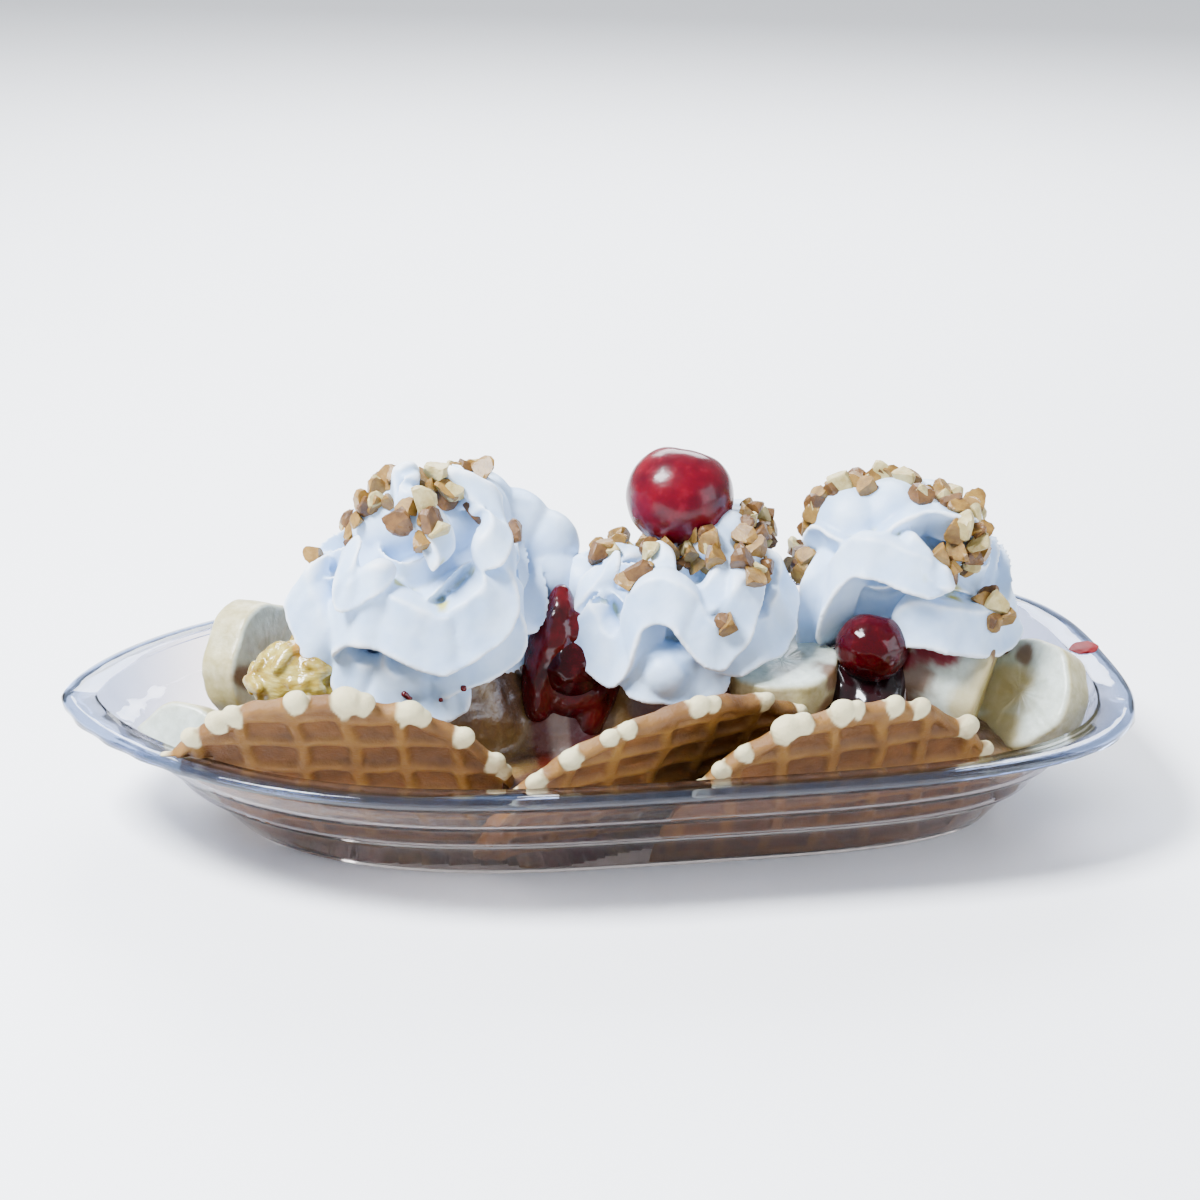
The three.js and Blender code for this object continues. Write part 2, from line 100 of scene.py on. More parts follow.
# Folds that stand out of the swirls: the line of each fold's thin edge, how far back its body lies and how
# much higher than the edge, and the radius of that body.
FOLDS = {
    "cream_left": [
        ([(-56, -18, 37), (-56.5, -20, 43), (-54, -22, 46.5), (-51, -24, 47.5), (-48, -25.5, 47),
         (-45, -27, 46), (-42, -28, 44.5), (-38.5, -28.5, 43), (-35, -28.5, 42.5), (-31.5, -28, 43.5),
         (-28, -27.5, 45.5), (-24, -26, 47.5), (-21.5, -24.5, 50), (-20, -23, 54), (-21, -22, 58),
         (-24, -21, 61)], 7.5, 6.0, 6.0),
        ([(-38.5, -9, 73.5), (-42.5, -11, 72.5), (-43, -15, 70.5), (-40.5, -18, 69.5), (-38, -20, 68),
         (-36.5, -22, 66), (-36, -23.5, 63.5), (-37.5, -25, 60.5)], 5.0, 2.0, 4.2),
        ([(-54, -16, 63), (-55, -18, 59.5), (-55.5, -19.5, 57), (-55, -21, 54), (-52, -22.5, 54.5),
         (-49, -23.5, 57), (-45, -24.5, 58.5)], 4.5, 3.0, 3.6),
        ([(-31, -8, 74), (-29, -12.5, 72.5), (-25.5, -14, 71), (-22, -15, 69), (-21, -18, 66),
         (-23, -21.5, 63), (-27, -23.5, 60)], 5.0, 2.0, 4.0),
        ([(-63, -7, 55), (-64, -10, 50), (-62.5, -14, 45), (-60, -17, 40), (-58, -16, 35)], 6.0, 4.0, 5.0),
        ([(-57, -17, 39), (-55.5, -20.5, 35.5), (-52, -22.5, 34), (-48.5, -22.5, 35)], 5.0, 5.0, 4.4),
        ([(-50, -22.5, 37), (-48, -25, 33.5), (-44, -26, 32.3), (-40, -25.5, 33.5)], 5.0, 5.0, 4.6),
        ([(-41, -24.5, 35.5), (-38, -26, 32), (-33.5, -26.5, 31.8), (-29, -26, 34.5)], 5.0, 5.0, 4.4),
        ([(-20, -22, 53), (-18.5, -22, 47), (-20.5, -24, 42.5), (-26, -26.5, 40), (-33, -27, 37.5),
         (-38, -26, 34)], 6.5, 5.0, 5.0),
    ],
    "cream_middle": [
        ([(-3, -9, 53), (-5, -10, 49), (-8, -9.5, 43.5), (-8, -12, 40.5), (-6, -15, 37), (-3.5, -18.5, 35),
         (-1, -20.5, 34), (1, -22, 36), (2.5, -23, 39.5), (3.5, -23, 43.5), (5, -22.5, 47),
         (7.5, -23, 48.5), (10.5, -24.5, 48), (13, -26, 44.5), (15.5, -27, 41.5), (18, -27.5, 40),
         (20.5, -27, 39.5), (23, -26, 41.5), (25.5, -25, 44), (27.5, -23, 47.5), (30, -20, 50),
         (34.5, -15, 53)], 6.5, 5.0, 4.8),
        ([(7.5, -11, 59), (8.5, -15, 57), (9, -18.5, 54), (10.5, -21, 51.5), (13, -22.5, 50.5),
         (16, -23, 50), (19.5, -22.5, 51), (22, -21, 53), (24, -18.5, 55), (25, -15, 58), (24, -11, 61.5)],
         4.5, 1.0, 3.4),
        ([(37.5, -8, 53), (38.5, -12, 49), (37.5, -17, 44.5), (34, -21, 40), (29, -24, 39.5),
         (25, -25.5, 37.5), (20, -26, 35.5)], 6.0, 4.0, 4.6),
        ([(-9, 4, 50), (-5, 3, 53), (-1, 2, 55.5), (4, 2, 57.5)], 5.0, -2.0, 4.2),
        ([(-1, -21, 33), (6, -24, 32), (12, -25, 31.5), (19, -24.5, 32.5), (25, -22, 34)], 6.0, 6.0, 5.2),
    ],
    "cream_right": [
        ([(42, -3, 55), (41.5, -3, 58.5), (43, -5, 61), (45, -8, 61.5), (47.5, -12, 60.5), (50, -15, 60),
         (53, -16.5, 61), (56, -16.5, 63.5), (59, -16, 65.5), (62, -15.5, 66.5), (66, -15.5, 67),
         (70, -16, 66), (75, -15.5, 64.5), (77, -18, 60)], 5.5, -3.0, 3.8),
        ([(44.5, -11, 33), (43.5, -14, 41), (44, -16, 46.5), (46, -17.5, 51.5), (48.5, -18.5, 54.5),
         (51, -20, 55), (54, -22, 54.5), (57, -23.5, 53.5), (60.5, -25, 52.5), (64, -25.5, 51.5),
         (69, -25, 51.5)], 6.0, 4.0, 4.2),
        ([(41, -8, 53), (40.5, -9.5, 47), (40.5, -10, 41), (41, -10, 35), (43.5, -11, 33)], 5.0, 3.0, 4.0),
        ([(57, -22, 37), (61, -24.5, 41), (67, -26, 40), (74, -23.5, 38), (81, -17.5, 36), (87, -11, 37.5),
         (88, -5, 41)], 6.0, 5.0, 5.0),
        ([(57.5, -19, 61), (61, -22.5, 57.5), (64.5, -24.5, 54), (69, -24.5, 53)], 4.0, 1.0, 3.2),
    ],
}

# Lobes and smears of cream beside the swirls: middle and radius.
LOBES = {
    "cream_left": [
        ((-42, -2, 64), 9.0), ((-33, -2, 64.5), 9.2), ((-27, 4, 63), 9.0), ((-25, 11, 61), 9.5),
        ((-17, 11, 57.5), 8.5), ((-10.5, 9, 54), 7.6), ((-10, 5, 48), 7.5), ((-40, -19, 38), 7.0),
    ],
    "cream_middle": [
        ((25, -6.4, 61), 4.6), ((21.5, -8, 59.5), 4.2), ((28, 0, 58.5), 5.6), ((31, 8, 55), 7.4),
        ((10, -21.5, 37), 5.2), ((-2, 3, 47), 7.0),
    ],
    "cream_right": [((52.5, -3, 60), 8.5), ((60, -4, 61), 9.0), ((68, -2, 60), 8.5), ((84, -3, 40), 5.0)],
}

# Where chopped nuts lie on each swirl: middle and radius of each heap.
NUT_HEAPS = {
    "cream_left": [
        (-49, -8, 72, 4.5), (-43, -1, 74, 5), (-36, -2, 75, 4), (-26, 9, 73, 3.5), (-34, -11, 73, 3),
        (-38, -17, 70, 4.2), (-25, -13, 70, 2), (-59, -8, 62, 2.4), (-20, -16, 66, 2.4),
        (-61, -14, 44, 2.2), (-38, 14, 72, 6), (-52, 12, 62, 4),
    ],
    "cream_middle": [
        (5, 14, 57, 4), (9, -7, 59, 4), (5, -13, 56, 2.6), (17, -11, 59, 5), (20, -14, 58, 3),
        (27, -12, 57, 4.4), (27, -6, 61, 4), (27, -16, 55, 4), (22, -23, 49, 2.2), (34, 1, 59, 4.5),
        (14, 16, 54, 5), (1, 4, 58, 4),
    ],
    "cream_right": [
        (40, -2, 51, 3.4), (41, 10, 53, 4.2), (42, 2, 60, 4), (45, -1, 64, 3.6), (51, -1, 69, 4.2),
        (54, -6, 69, 2.2), (59, 0, 72, 3.4), (64, -4, 72, 2), (67, -10, 70, 3.4), (72, -10, 69, 4.5),
        (76, -13, 66, 4.4), (79, -15, 61, 4.8), (71, -22, 58, 3.2), (78, -19, 54, 4.4), (80, -18, 47, 4.2),
        (62, 14, 68, 6), (78, 8, 62, 5),
    ],
}

# Pits of the cream painted a yellow-olive shade: middle and radius.
SHADED_CREAM_PITS = {
    "cream_left": [(-42.9, -19.1, 59.2, 2.6), (-35.4, -22.6, 61.9, 2.6), (-27.1, -18.6, 58.2, 2.6),
                   (-34.6, -23.3, 53.7, 2.6)],
    "cream_right": [(62.2, -21.4, 54.1, 3.4), (70.8, -17.6, 49.6, 3.0)],
}

CHERRIES = {
    "cherry_top": ((16.3, 0, 66.8), 11.0),
    "cherry_dark_left": ((-7.4, -10, 34.5), 7.4),
    "cherry_dark_right": ((53.2, -19, 39.3), 7.4),
}

# Banana slices: middle, axis, radius, thickness.
BANANAS = {
    "banana_left_upright": ((-71, 12, 30), (0.78, -0.6, 0.1), 12.8, 8.5),
    "banana_left_low": ((-86, -3, 14.6), (-0.45, -0.75, 0.45), 12.0, 8.0),
    "banana_right_upper": ((35.2, -16, 32.6), (-0.06, -0.1, 1.0), 11.8, 8.0),
    "banana_right_lower": ((39, -18, 23.9), (0.05, -0.08, 1.0), 11.8, 8.0),
    "banana_right_large": ((71, -13, 28), (0.8, -0.42, -0.2), 12.5, 17.0),
    "banana_right_end": ((89, -16, 24.6), (-0.72, -0.42, 0.55), 12.0, 8.5),
}

# Where caramel and red syrup soaked into the slices, and where their flesh gets a painted yellow-olive shade:
# middle and radius.
CARAMEL_SOAKED = [
    (60.5, -20, 32, 7.0), (61.5, -22, 26, 6.5), (78, -21, 36, 3.4), (87.5, -13.5, 34, 3.0),
    (29, -26, 30, 3.0), (43.8, -22.5, 34, 5.0), (44, -24.5, 28.5, 6.0), (-73, 1, 31, 3.5),
]
SYRUP_SOAKED = [(64, -19, 39, 4.0), (69, -19.5, 38.5, 5.0), (60, -19, 37, 3.6)]
PAINTED_SHADE_FLESH = [
    (73, -26, 28, 6.0), (77, -24, 31, 8.0), (75, -27, 25, 7.0), (81.5, -16, 27, 8.0), (80, -20, 20, 7.0),
]
PAINTED_SHADE_FACES = {"banana_right_large"}  # its faces get the side's yellow as a painted shade, being turned from the light

# Half waffle discs: middle of the disc, direction of its straight edge, lean outwards, radius, and where a
# rib crosses the straight edge.
WAFFLES = {
    "waffle_left": ((-56.3, -21.5, 9.1), (0.987, -0.159), 0.455, 37.4, 4.7),
    "waffle_middle": ((5.6, -24.3, 9.5), (0.945, 0.328), 0.6, 37.4, -4.4),
    "waffle_right": ((41, -33.8, 6.2), (0.983, 0.184), 0.4, 36.3, -3.9),
}
# Beads of batter that ran out at the ends of the ribs: turn round the disc in degrees, and size.
BEADS = {
    "waffle_left": [
        (136, 2.3), (125, 2.6), (119, 2.3), (99, 2.6), (84, 3.5), (79, 2.5), (65, 3.0), (61, 2.1),
        (46, 2.4), (31, 2.3), (26, 1.9), (150, 2.1),
    ],
    "waffle_middle": [
        (146, 2.3), (133, 2.5), (120, 2.1), (114, 2.1), (91, 2.6), (86, 1.8), (65, 2.1), (44, 1.9),
        (155, 1.9),
    ],
    "waffle_right": [
        (148, 2.1), (139, 2.0), (130, 1.8), (115, 3.4), (110, 2.5), (97, 2.8), (92, 1.9), (79, 2.3),
        (69, 2.3), (46, 2.8), (30, 2.1),
    ],
}
WAFFLE_THICK = 4.0
WAFFLE_FOOT = -6.0  # the plate goes this far below the middle of its disc

PINEAPPLE_AT, PINEAPPLE_SIZE = (-63, -13, 36), (10.5, 8.0, 8.5)
PINEAPPLE_STRINGS, PINEAPPLE_SEED = 90, 11
NUT_SCALES = (0.65, 1.15)  # smallest and largest nut, as shares of the usual one
FLOOR_REACH, FLOOR_STEPS = 3000.0, 12

# ---- small tools ---------------------------------------------------------------------------------


def linear(colour):
    """An sRGB hex colour, or a colour from the settings, as linear red, green, blue and alpha."""
    if not isinstance(colour, str):
        return (*colour[:3], 1.0)
    parts = [int(colour[i : i + 2], 16) / 255 for i in (0, 2, 4)]
    return tuple(c / 12.92 if c <= 0.04045 else ((c + 0.055) / 1.055) ** 2.4 for c in parts) + (1.0,)


def hashed(cells, seed):
    """A repeatable value from 0 to 1 for each integer cell."""
    bits = seed * 2654435761
    for axis, prime in enumerate((73856093, 19349663, 83492791)):
        bits = bits ^ (cells[:, axis] * prime)
    bits = (bits ^ (bits >> 13)) * 1274126177
    bits = (bits ^ (bits >> 16)) & 0xFFFFFF
    return bits / float(0xFFFFFF)


def noise(points, size, seed=0):
    """Smooth noise from -1 to 1, with bumps about `size` millimetres wide."""
    scaled = points / size
    cells = np.floor(scaled).astype(np.int64)
    inside = scaled - cells
    inside = inside * inside * (3 - 2 * inside)
    total = np.zeros(len(points))
    for corner in np.ndindex(2, 2, 2):
        weight = np.prod(np.where(np.array(corner) == 1, inside, 1 - inside), axis=1)
        total += weight * hashed(cells + np.array(corner), seed)
    return total * 2 - 1


def rough(points, size, seed=0, octaves=3):
    """Noise with finer noise on it."""
    return sum(noise(points, size / 2**k, seed + k) / 2**k for k in range(octaves)) / 1.75


def smoothstep(low, high, value):
    t = np.clip((value - low) / (high - low), 0, 1)
    return t * t * (3 - 2 * t)


def spots(points, marks, ragged, seed, solid=0.5):
    """How far marks, given by their middles and reaches, cover each point; `solid` is the share with no fade.

    The edge is ragged by noise of the size and the height that `ragged` gives.
    """
    cover = np.zeros(len(points))
    size, height = ragged
    stray = height * rough(points, size, seed)
    for x, y, z, reach in marks:
        off = np.linalg.norm(points - [x, y, z], axis=1) / reach + stray
        cover = np.maximum(cover, 1 - smoothstep(solid, 1.0, off))
    return cover


def unit(vectors):
    return vectors / np.maximum(np.linalg.norm(vectors, axis=-1, keepdims=True), 1e-12)


def tube(rings):
    """Vertices and faces of a closed skin over rings with as many points each."""
    rings = np.asarray(rings, float)
    count, around = rings.shape[:2]
    k, i = np.meshgrid(np.arange(count - 1), np.arange(around), indexing="ij")
    a = k * around + i
    b = k * around + (i + 1) % around
    sides = np.stack([a, b, b + around, a + around], -1).reshape(-1, 4)
    middles = np.stack([rings[0].mean(0), rings[-1].mean(0)])
    first, last = count * around, count * around + 1
    turn = np.arange(around)
    after = (turn + 1) % around
    top = (count - 1) * around
    start_cap = np.stack([after, turn, np.full(around, first)], -1)
    end_cap = np.stack([top + turn, top + after, np.full(around, last)], -1)
    faces = sides.tolist() + start_cap.tolist() + end_cap.tolist()
    return np.vstack([rings.reshape(-1, 3), middles]), faces


def joined(parts):
    """Several (vertices, faces) as one."""
    vertices, faces, offset = [], [], 0
    for points, part_faces in parts:
        vertices.append(np.asarray(points, float))
        faces += [[i + offset for i in face] for face in part_faces]
        offset += len(points)
    return np.vstack(vertices), faces


def mesh_of(name, vertices, faces):
    mesh = bpy.data.meshes.new(name)
    mesh.from_pydata((np.asarray(vertices) * MM).tolist(), [], faces)
    mesh.update()
    return mesh


def coordinates(mesh):
    points = np.empty(len(mesh.vertices) * 3)
    mesh.vertices.foreach_get("co", points)
    return points.reshape(-1, 3) / MM


def evaluated(obj, name):
    """The plain mesh that an object's modifiers make; the object is removed."""
    graph = bpy.context.evaluated_depsgraph_get()
    graph.update()
    mesh = bpy.data.meshes.new_from_object(obj.evaluated_get(graph), depsgraph=graph)
    mesh.name = name
    old = obj.data
    bpy.data.objects.remove(obj)
    if old.users == 0:
        bpy.data.meshes.remove(old)
    return mesh


def linked(name, mesh):
    obj = bpy.data.objects.new(name, mesh)
    bpy.context.scene.collection.objects.link(obj)
    return obj


def remeshed(name, parts, voxel, times, share=0.5):
    """One closed skin round overlapping closed shells, by voxels of that size, then relaxed."""
    obj = linked(name, mesh_of(name, *joined(parts)))
    remesh = obj.modifiers.new("Remesh", "REMESH")
    remesh.mode = "VOXEL"
    remesh.voxel_size = voxel * MM
    mesh = evaluated(obj, name)
    points = coordinates(mesh)
    quads = np.array([list(face.vertices) for face in mesh.polygons])
    bpy.data.meshes.remove(mesh)
    return relaxed(points, quads, times, share), quads


def vertex_normals(points, faces):
    """Unit normals of a mesh of quads or triangles."""
    faces = np.asarray(faces)
    a, b, c = points[faces[:, 0]], points[faces[:, 1]], points[faces[:, 2]]
    d = points[faces[:, -1]]
    across = np.cross(c - a, d - b) if faces.shape[1] == 4 else np.cross(b - a, c - a)
    total = np.zeros_like(points)
    for k in range(faces.shape[1]):
        np.add.at(total, faces[:, k], across)
    return unit(total)


def raised(points, faces, height):
    """Points moved out along their normals."""
    return points + vertex_normals(points, faces) * height[:, None]


def relaxed(points, faces, times, share=0.5):
    """The points moved towards the middle of their neighbours, a number of times."""
    faces = np.asarray(faces)
    edges = np.vstack([faces[:, [k, (k + 1) % faces.shape[1]]] for k in range(faces.shape[1])])
    count = np.zeros(len(points))
    np.add.at(count, edges[:, 0], 1)
    np.add.at(count, edges[:, 1], 1)
    for _ in range(times):
        total = np.zeros_like(points)
        np.add.at(total, edges[:, 0], points[edges[:, 1]])
        np.add.at(total, edges[:, 1], points[edges[:, 0]])
        points = points + share * (total / np.maximum(count, 1)[:, None] - points)
    return points


def outline(half_length, half_width, z, turn):
    """Points of the boat's outline at a level, by their turn round it."""
    turn = np.asarray(turn, float)
    c, s = np.cos(turn), np.sin(turn)
    along = np.where(c >= 0, LOADED_END[0], EMPTY_END[0])
    across = np.where(c >= 0, LOADED_END[1], EMPTY_END[1])
    rise = min(z / RIM_HEIGHT, 1)
    x = half_length * np.sign(c) * np.abs(c) ** (2 / along)
    bend = np.where(x < 0, TIP_BEND * rise * (x / RIM_LENGTH) ** 2, 0)
    y = half_width * np.sign(s) * np.abs(s) ** (2 / across) + bend
    return np.stack([x + FOOT_SHIFT * (1 - rise), y, np.full_like(x, z)], -1)


def even_turns(count):
    """Turns that space points evenly along the rim."""
    fine = np.linspace(0, 2 * math.pi, 8001)
    points = outline(RIM_LENGTH, RIM_WIDTH, RIM_HEIGHT, fine)
    lengths = np.concatenate([[0], np.cumsum(np.linalg.norm(np.diff(points, axis=0), axis=1))])
    return np.interp(np.arange(count) / count * lengths[-1], lengths, fine)


def pressed_inside(points, inset):
    """Points that would stand outside the boat's inner wall, pressed onto it, `inset` clear of it."""
    levels = np.array(WALL_LEVELS)
    z = np.maximum(points[:, 2], WALL + inset)
    a = np.interp(z - WALL, levels[:, 2], levels[:, 0]) - WALL - inset
    b = np.interp(z - WALL, levels[:, 2], levels[:, 1]) - WALL - inset
    rise = np.minimum(z / RIM_HEIGHT, 1)
    x = points[:, 0] - FOOT_SHIFT * (1 - rise)
    bend = np.where(x < 0, TIP_BEND * rise * (x / RIM_LENGTH) ** 2, 0)
    y = points[:, 1] - bend
    along = np.where(x >= 0, LOADED_END[0], EMPTY_END[0])
    across = np.where(x >= 0, LOADED_END[1], EMPTY_END[1])
    low, high = np.zeros(len(points)), np.ones(len(points))
    outside = (np.abs(x) / a) ** along + (np.abs(y) / b) ** across > 1
    outside &= points[:, 2] < RIM_HEIGHT
    for _ in range(24):
        middle = (low + high) / 2
        over = (np.abs(x) * middle / a) ** along + (np.abs(y) * middle / b) ** across > 1
        high = np.where(over, middle, high)
        low = np.where(over, low, middle)
    share = np.where(outside, low, 1)
    return np.stack([x * share + FOOT_SHIFT * (1 - rise), y * share + bend, z], -1)


def sphere(middle, radius, around=48, rows=32, squash=1.0):
    """A ball's vertices and faces, its poles closed by the caps of `tube`."""
    latitude = np.linspace(-math.pi / 2, math.pi / 2, rows + 1)[1:-1]
    turn = np.arange(around) / around * 2 * math.pi
    rings = [
        np.stack(
            [
                middle[0] + radius * math.cos(v) * np.cos(turn),
                middle[1] + radius * math.cos(v) * np.sin(turn),
                np.full(around, middle[2] + radius * squash * math.sin(v)),
            ],
            -1,
        )
        for v in latitude
    ]
    return tube(rings)


# ---- materials -----------------------------------------------------------------------------------

NOISE, RAMP, MIX, BUMP = "ShaderNodeTexNoise", "ShaderNodeValToRGB", "ShaderNodeMix", "ShaderNodeBump"
SCALED, STRETCHED, MATHS = "ShaderNodeMapping", "ShaderNodeMapRange", "ShaderNodeMath"
RANDOM = "FunctionNodeRandomValue"


def add(tree, kind, values, out=0):
    """Adds a node, and gives back the output with that number or name.

    Each value goes to the input with that name or number, or else to that property of the node. It is a
    socket to link, a colour as `linear` takes it, the stops of a colour ramp, or a value set as it is.
    """
    node = tree.nodes.new(kind)
    for key, value in values.items():
        if key == "stops":
            band = node.color_ramp.elements
            while len(band) < len(value):
                band.new(0.5)
            for element, (position, colour) in zip(band, value):
                element.position, element.color = position, linear(colour)
        elif not isinstance(key, int) and key not in node.inputs:
            setattr(node, key, value)
        elif isinstance(value, bpy.types.NodeSocket):
            tree.links.new(value, node.inputs[key])
        else:
            coloured = node.inputs[key].type == "RGBA"
            node.inputs[key].default_value = linear(value) if coloured else value
    return node.outputs[out] if len(node.outputs) else node


def grain(size, detail=3.0, roughness=0.55):
    """Settings of a noise whose patches are about `size` millimetres wide."""
    return {"Scale": 1 / size, "Detail": detail, "Roughness": roughness}


def new_material(name):
    """A material with an empty tree, and its Object coordinates in millimetres."""
    material = bpy.data.materials.new(name)
    material.use_nodes = True
    tree = material.node_tree
    tree.nodes.clear()
    place = add(tree, "ShaderNodeTexCoord", {}, "Object")
    return material, tree, add(tree, SCALED, {"Vector": place, "Scale": (1 / MM,) * 3})


def layered(tree, colour, *layers):
    """A colour with others laid over it in turn, each where its attribute or factor says."""
    for factor, over in layers:
        if isinstance(factor, str):
            factor = add(tree, "ShaderNodeAttribute", {"attribute_name": factor}, "Fac")
        colour = add(tree, MIX, {"data_type": "RGBA", 0: factor, 6: colour, 7: over}, 2)
    return colour


def shaded(material, colour, settings, relief=None):
    """The material with its shader: a colour, values for the shader's own sockets, and perhaps a bump.

    The relief is a height, the bump's depth in millimetres, and its strength.
    """
    tree = material.node_tree
    values = {"Base Color": colour} | settings
    if relief:
        height, depth, strength = relief
        values["Normal"] = add(tree, BUMP, {"Height": height, "Distance": depth * MM, "Strength": strength})
    add(tree, "ShaderNodeOutputMaterial", {"Surface": add(tree, "ShaderNodeBsdfPrincipled", values)})
    return material


def soft(weight, depth, colour=(1.0, 0.2, 0.1)):
    """Settings for light that goes in: its share, how deep in millimetres, and how deep for each colour."""
    return {"Subsurface Weight": weight, "Subsurface Scale": depth * MM, "Subsurface Radius": colour}


def film(weight, roughness):
    """Settings for a wet film over the surface."""
    return {"Coat Weight": weight, "Coat Roughness": roughness}


def clear_plastic(tint):
    """Thermoformed PET: clear, with soft ripples of the mould that bend the light, and a rim and tips painted
    bluer as a painted reflection.
    """
    material, tree, where = new_material("thermoformed PET")
    ripple = add(tree, NOISE, {"Vector": where} | grain(9.0, 1.0))
    # Painted reflection: blue-grey laid over the rim and the tips.
    colour = layered(tree, tint, ("bluer", "7587a9"))
    settings = {"Roughness": 0.04, "IOR": 1.38, "Transmission Weight": 1.0}
    return shaded(material, colour, settings, (ripple, 0.25, 0.5))


def whipped_cream(white):
    """Whipped cream: matt, soft and white under a painted blue light, a little light goes in; pits get a
    painted yellowish shade, crests a painted highlight.
    """
    material, tree, where = new_material("whipped cream")
    patches = add(tree, NOISE, {"Vector": where} | grain(9.0))
    # Painted light: the cream's blue tint stands in for cool skylight on white cream.
    base = add(tree, RAMP, {"Fac": patches, "stops": [(0.35, "a9c8ec"), (0.65, white)]})
    # Painted highlight on the crests in near white, painted shade in the crevices in yellow.
    colour = layered(tree, base, ("crest", "eef5ff"), ("crevice", "b9b560"))
    fine = add(tree, NOISE, {"Vector": where} | grain(0.7, 2.0))
    settings = {"Roughness": 0.42, "Specular IOR Level": 0.35} | soft(0.1, 1.2, (1.0, 0.9, 0.75))
    return shaded(material, colour, settings, (fine, 0.08, 0.5))


def peanut(name, light, dark):
    """Chopped roasted peanut: waxy, with paler broken faces and a browner skin side."""
    material, tree, where = new_material(name)
    patches = add(tree, NOISE, {"Vector": where} | grain(1.8))
    colour = add(tree, RAMP, {"Fac": patches, "stops": [(0.35, dark), (0.62, light)]})
    fine = add(tree, NOISE, {"Vector": where} | grain(0.5, 2.0))
    return shaded(material, colour, {"Roughness": 0.45} | soft(0.08, 1), (fine, 0.12, 0.7))


def cherry_skin(name, deep, bright, rough_level, blush):
    """A preserved cherry: taut wet skin over translucent flesh, with a syrup shine."""
    material, tree, where = new_material(name)
    patches = add(tree, NOISE, {"Vector": where} | grain(6.0))
    patches = add(tree, STRETCHED, {"Value": patches, "From Min": 0.3, "From Max": 0.7})
    colour = add(tree, RAMP, {"Fac": patches, "stops": [(0.0, deep), (1.0, bright)]})
    mottle = add(tree, NOISE, {"Vector": where} | grain(3.0, 2.0))
    mottle = add(tree, STRETCHED, {"Value": mottle, "From Min": 0.58, "From Max": 0.72})
    mottle = add(tree, MATHS, {"operation": "MULTIPLY", 0: mottle, 1: 0.2})
    dimples = add(tree, NOISE, {"Vector": where} | grain(2.2, 1.0))
    settings = {"Roughness": rough_level, "IOR": 1.42, "Specular IOR Level": 0.25}
    settings |= film(0.15, 0.1) | soft(0.2, 2.0, (1.0, 0.15, 0.1))
    return shaded(material, layered(tree, colour, (mottle, blush)), settings, (dimples, 0.2, 0.4))


def banana_flesh(flesh):
    """Cut banana: moist pale flesh, three seed lines round its middle, and a yellower fluted side whose
    yellow is partly painted shade.
    """
    material, tree, where = new_material("cut banana flesh")
    fibre = add(tree, NOISE, {"Vector": where} | grain(2.2, 4.0))
    face = add(tree, RAMP, {"Fac": fibre, "stops": [(0.3, "b2bcb0"), (0.7, flesh)]})
    side = add(tree, RAMP, {"Fac": fibre, "stops": [(0.3, "a4996a"), (0.7, "c2ba92")]})
    # Painted shade: the yellow-olive layer, and on one slice the side's yellow, mark flesh turned from the
    # light.
    colour = layered(tree, face, ("side", side), ("seeds", "8c8362"), ("ripe", "a8934e"))
    colour = layered(tree, colour, ("stain", "5c3212"), ("syruped", "7a1a26"))
    fine = add(tree, NOISE, {"Vector": where} | grain(0.8))
    settings = {"Roughness": 0.34} | soft(0.2, 1.8, (1.0, 0.85, 0.5))
    return shaded(material, colour, settings, (fine, 0.15, 0.6))


def baked_waffle(crust):
    """Baked waffle: golden ribs, browner pits, and pale beads of batter."""
    material, tree, where = new_material("baked waffle")
    toast = add(tree, NOISE, {"Vector": where} | grain(7.0))
    rib = add(tree, RAMP, {"Fac": toast, "stops": [(0.3, "6f491a"), (0.7, crust)]})
    pit = add(tree, RAMP, {"Fac": toast, "stops": [(0.3, "50300e"), (0.7, "72481a")]})
    toasted = add(tree, "ShaderNodeAttribute", {"attribute_name": "toasted"}, "Fac")
    toasted = add(tree, MATHS, {"operation": "MULTIPLY", 0: toasted, 1: 0.75})
    colour = layered(tree, rib, ("pit", pit), (toasted, "5e3a12"), ("batter", "d2c79c"))
    crumb = add(tree, NOISE, {"Vector": where} | grain(1.1, 5.0, 0.7))
    settings = {"Roughness": 0.5, "Specular IOR Level": 0.4} | soft(0.05, 1)
    return shaded(material, colour, settings, (crumb, 0.4, 0.8))


def ice_cream_melt(tan):
    """Half melted ice cream under caramel: greyish tan, with golden wet streaks and red syrup run in."""
    material, tree, where = new_material("melting ice cream")
    streaks = add(tree, SCALED, {"Vector": where, "Scale": (1.0, 1.0, 0.5)})
    patches = add(tree, NOISE, {"Vector": streaks} | grain(8.0, 5.0, 0.6))
    stops = [(0.3, "432d20"), (0.45, tan), (0.6, "7c6034"), (0.75, "96805e")]
    base = add(tree, RAMP, {"Fac": patches, "stops": stops})
    runs = [("red", "4c0410"), ("orange", "5e1c0a"), ("dark", "1c0a0c"), ("pale", "9c857a")]
    colour = layered(tree, base, *runs)
    fine = add(tree, NOISE, {"Vector": where} | grain(1.5, 4.0))
    settings = {"Roughness": 0.3} | film(0.3, 0.12) | soft(0.1, 1.5)
    return shaded(material, colour, settings, (fine, 0.5, 0.7))


def syrup(name, colour, edge, rough_level=0.2, wet=0.45):
    """Fruit syrup: a thick, dark film, glossy unless it dries."""
    material, tree, where = new_material(name)
    thick = add(tree, NOISE, {"Vector": where} | grain(4.0))
    blend = add(tree, RAMP, {"Fac": thick, "stops": [(0.35, colour), (0.75, edge)]})
    settings = {"Roughness": rough_level, "IOR": 1.45, "Specular IOR Level": 0.25}
    return shaded(material, blend, settings | film(wet, 0.03))


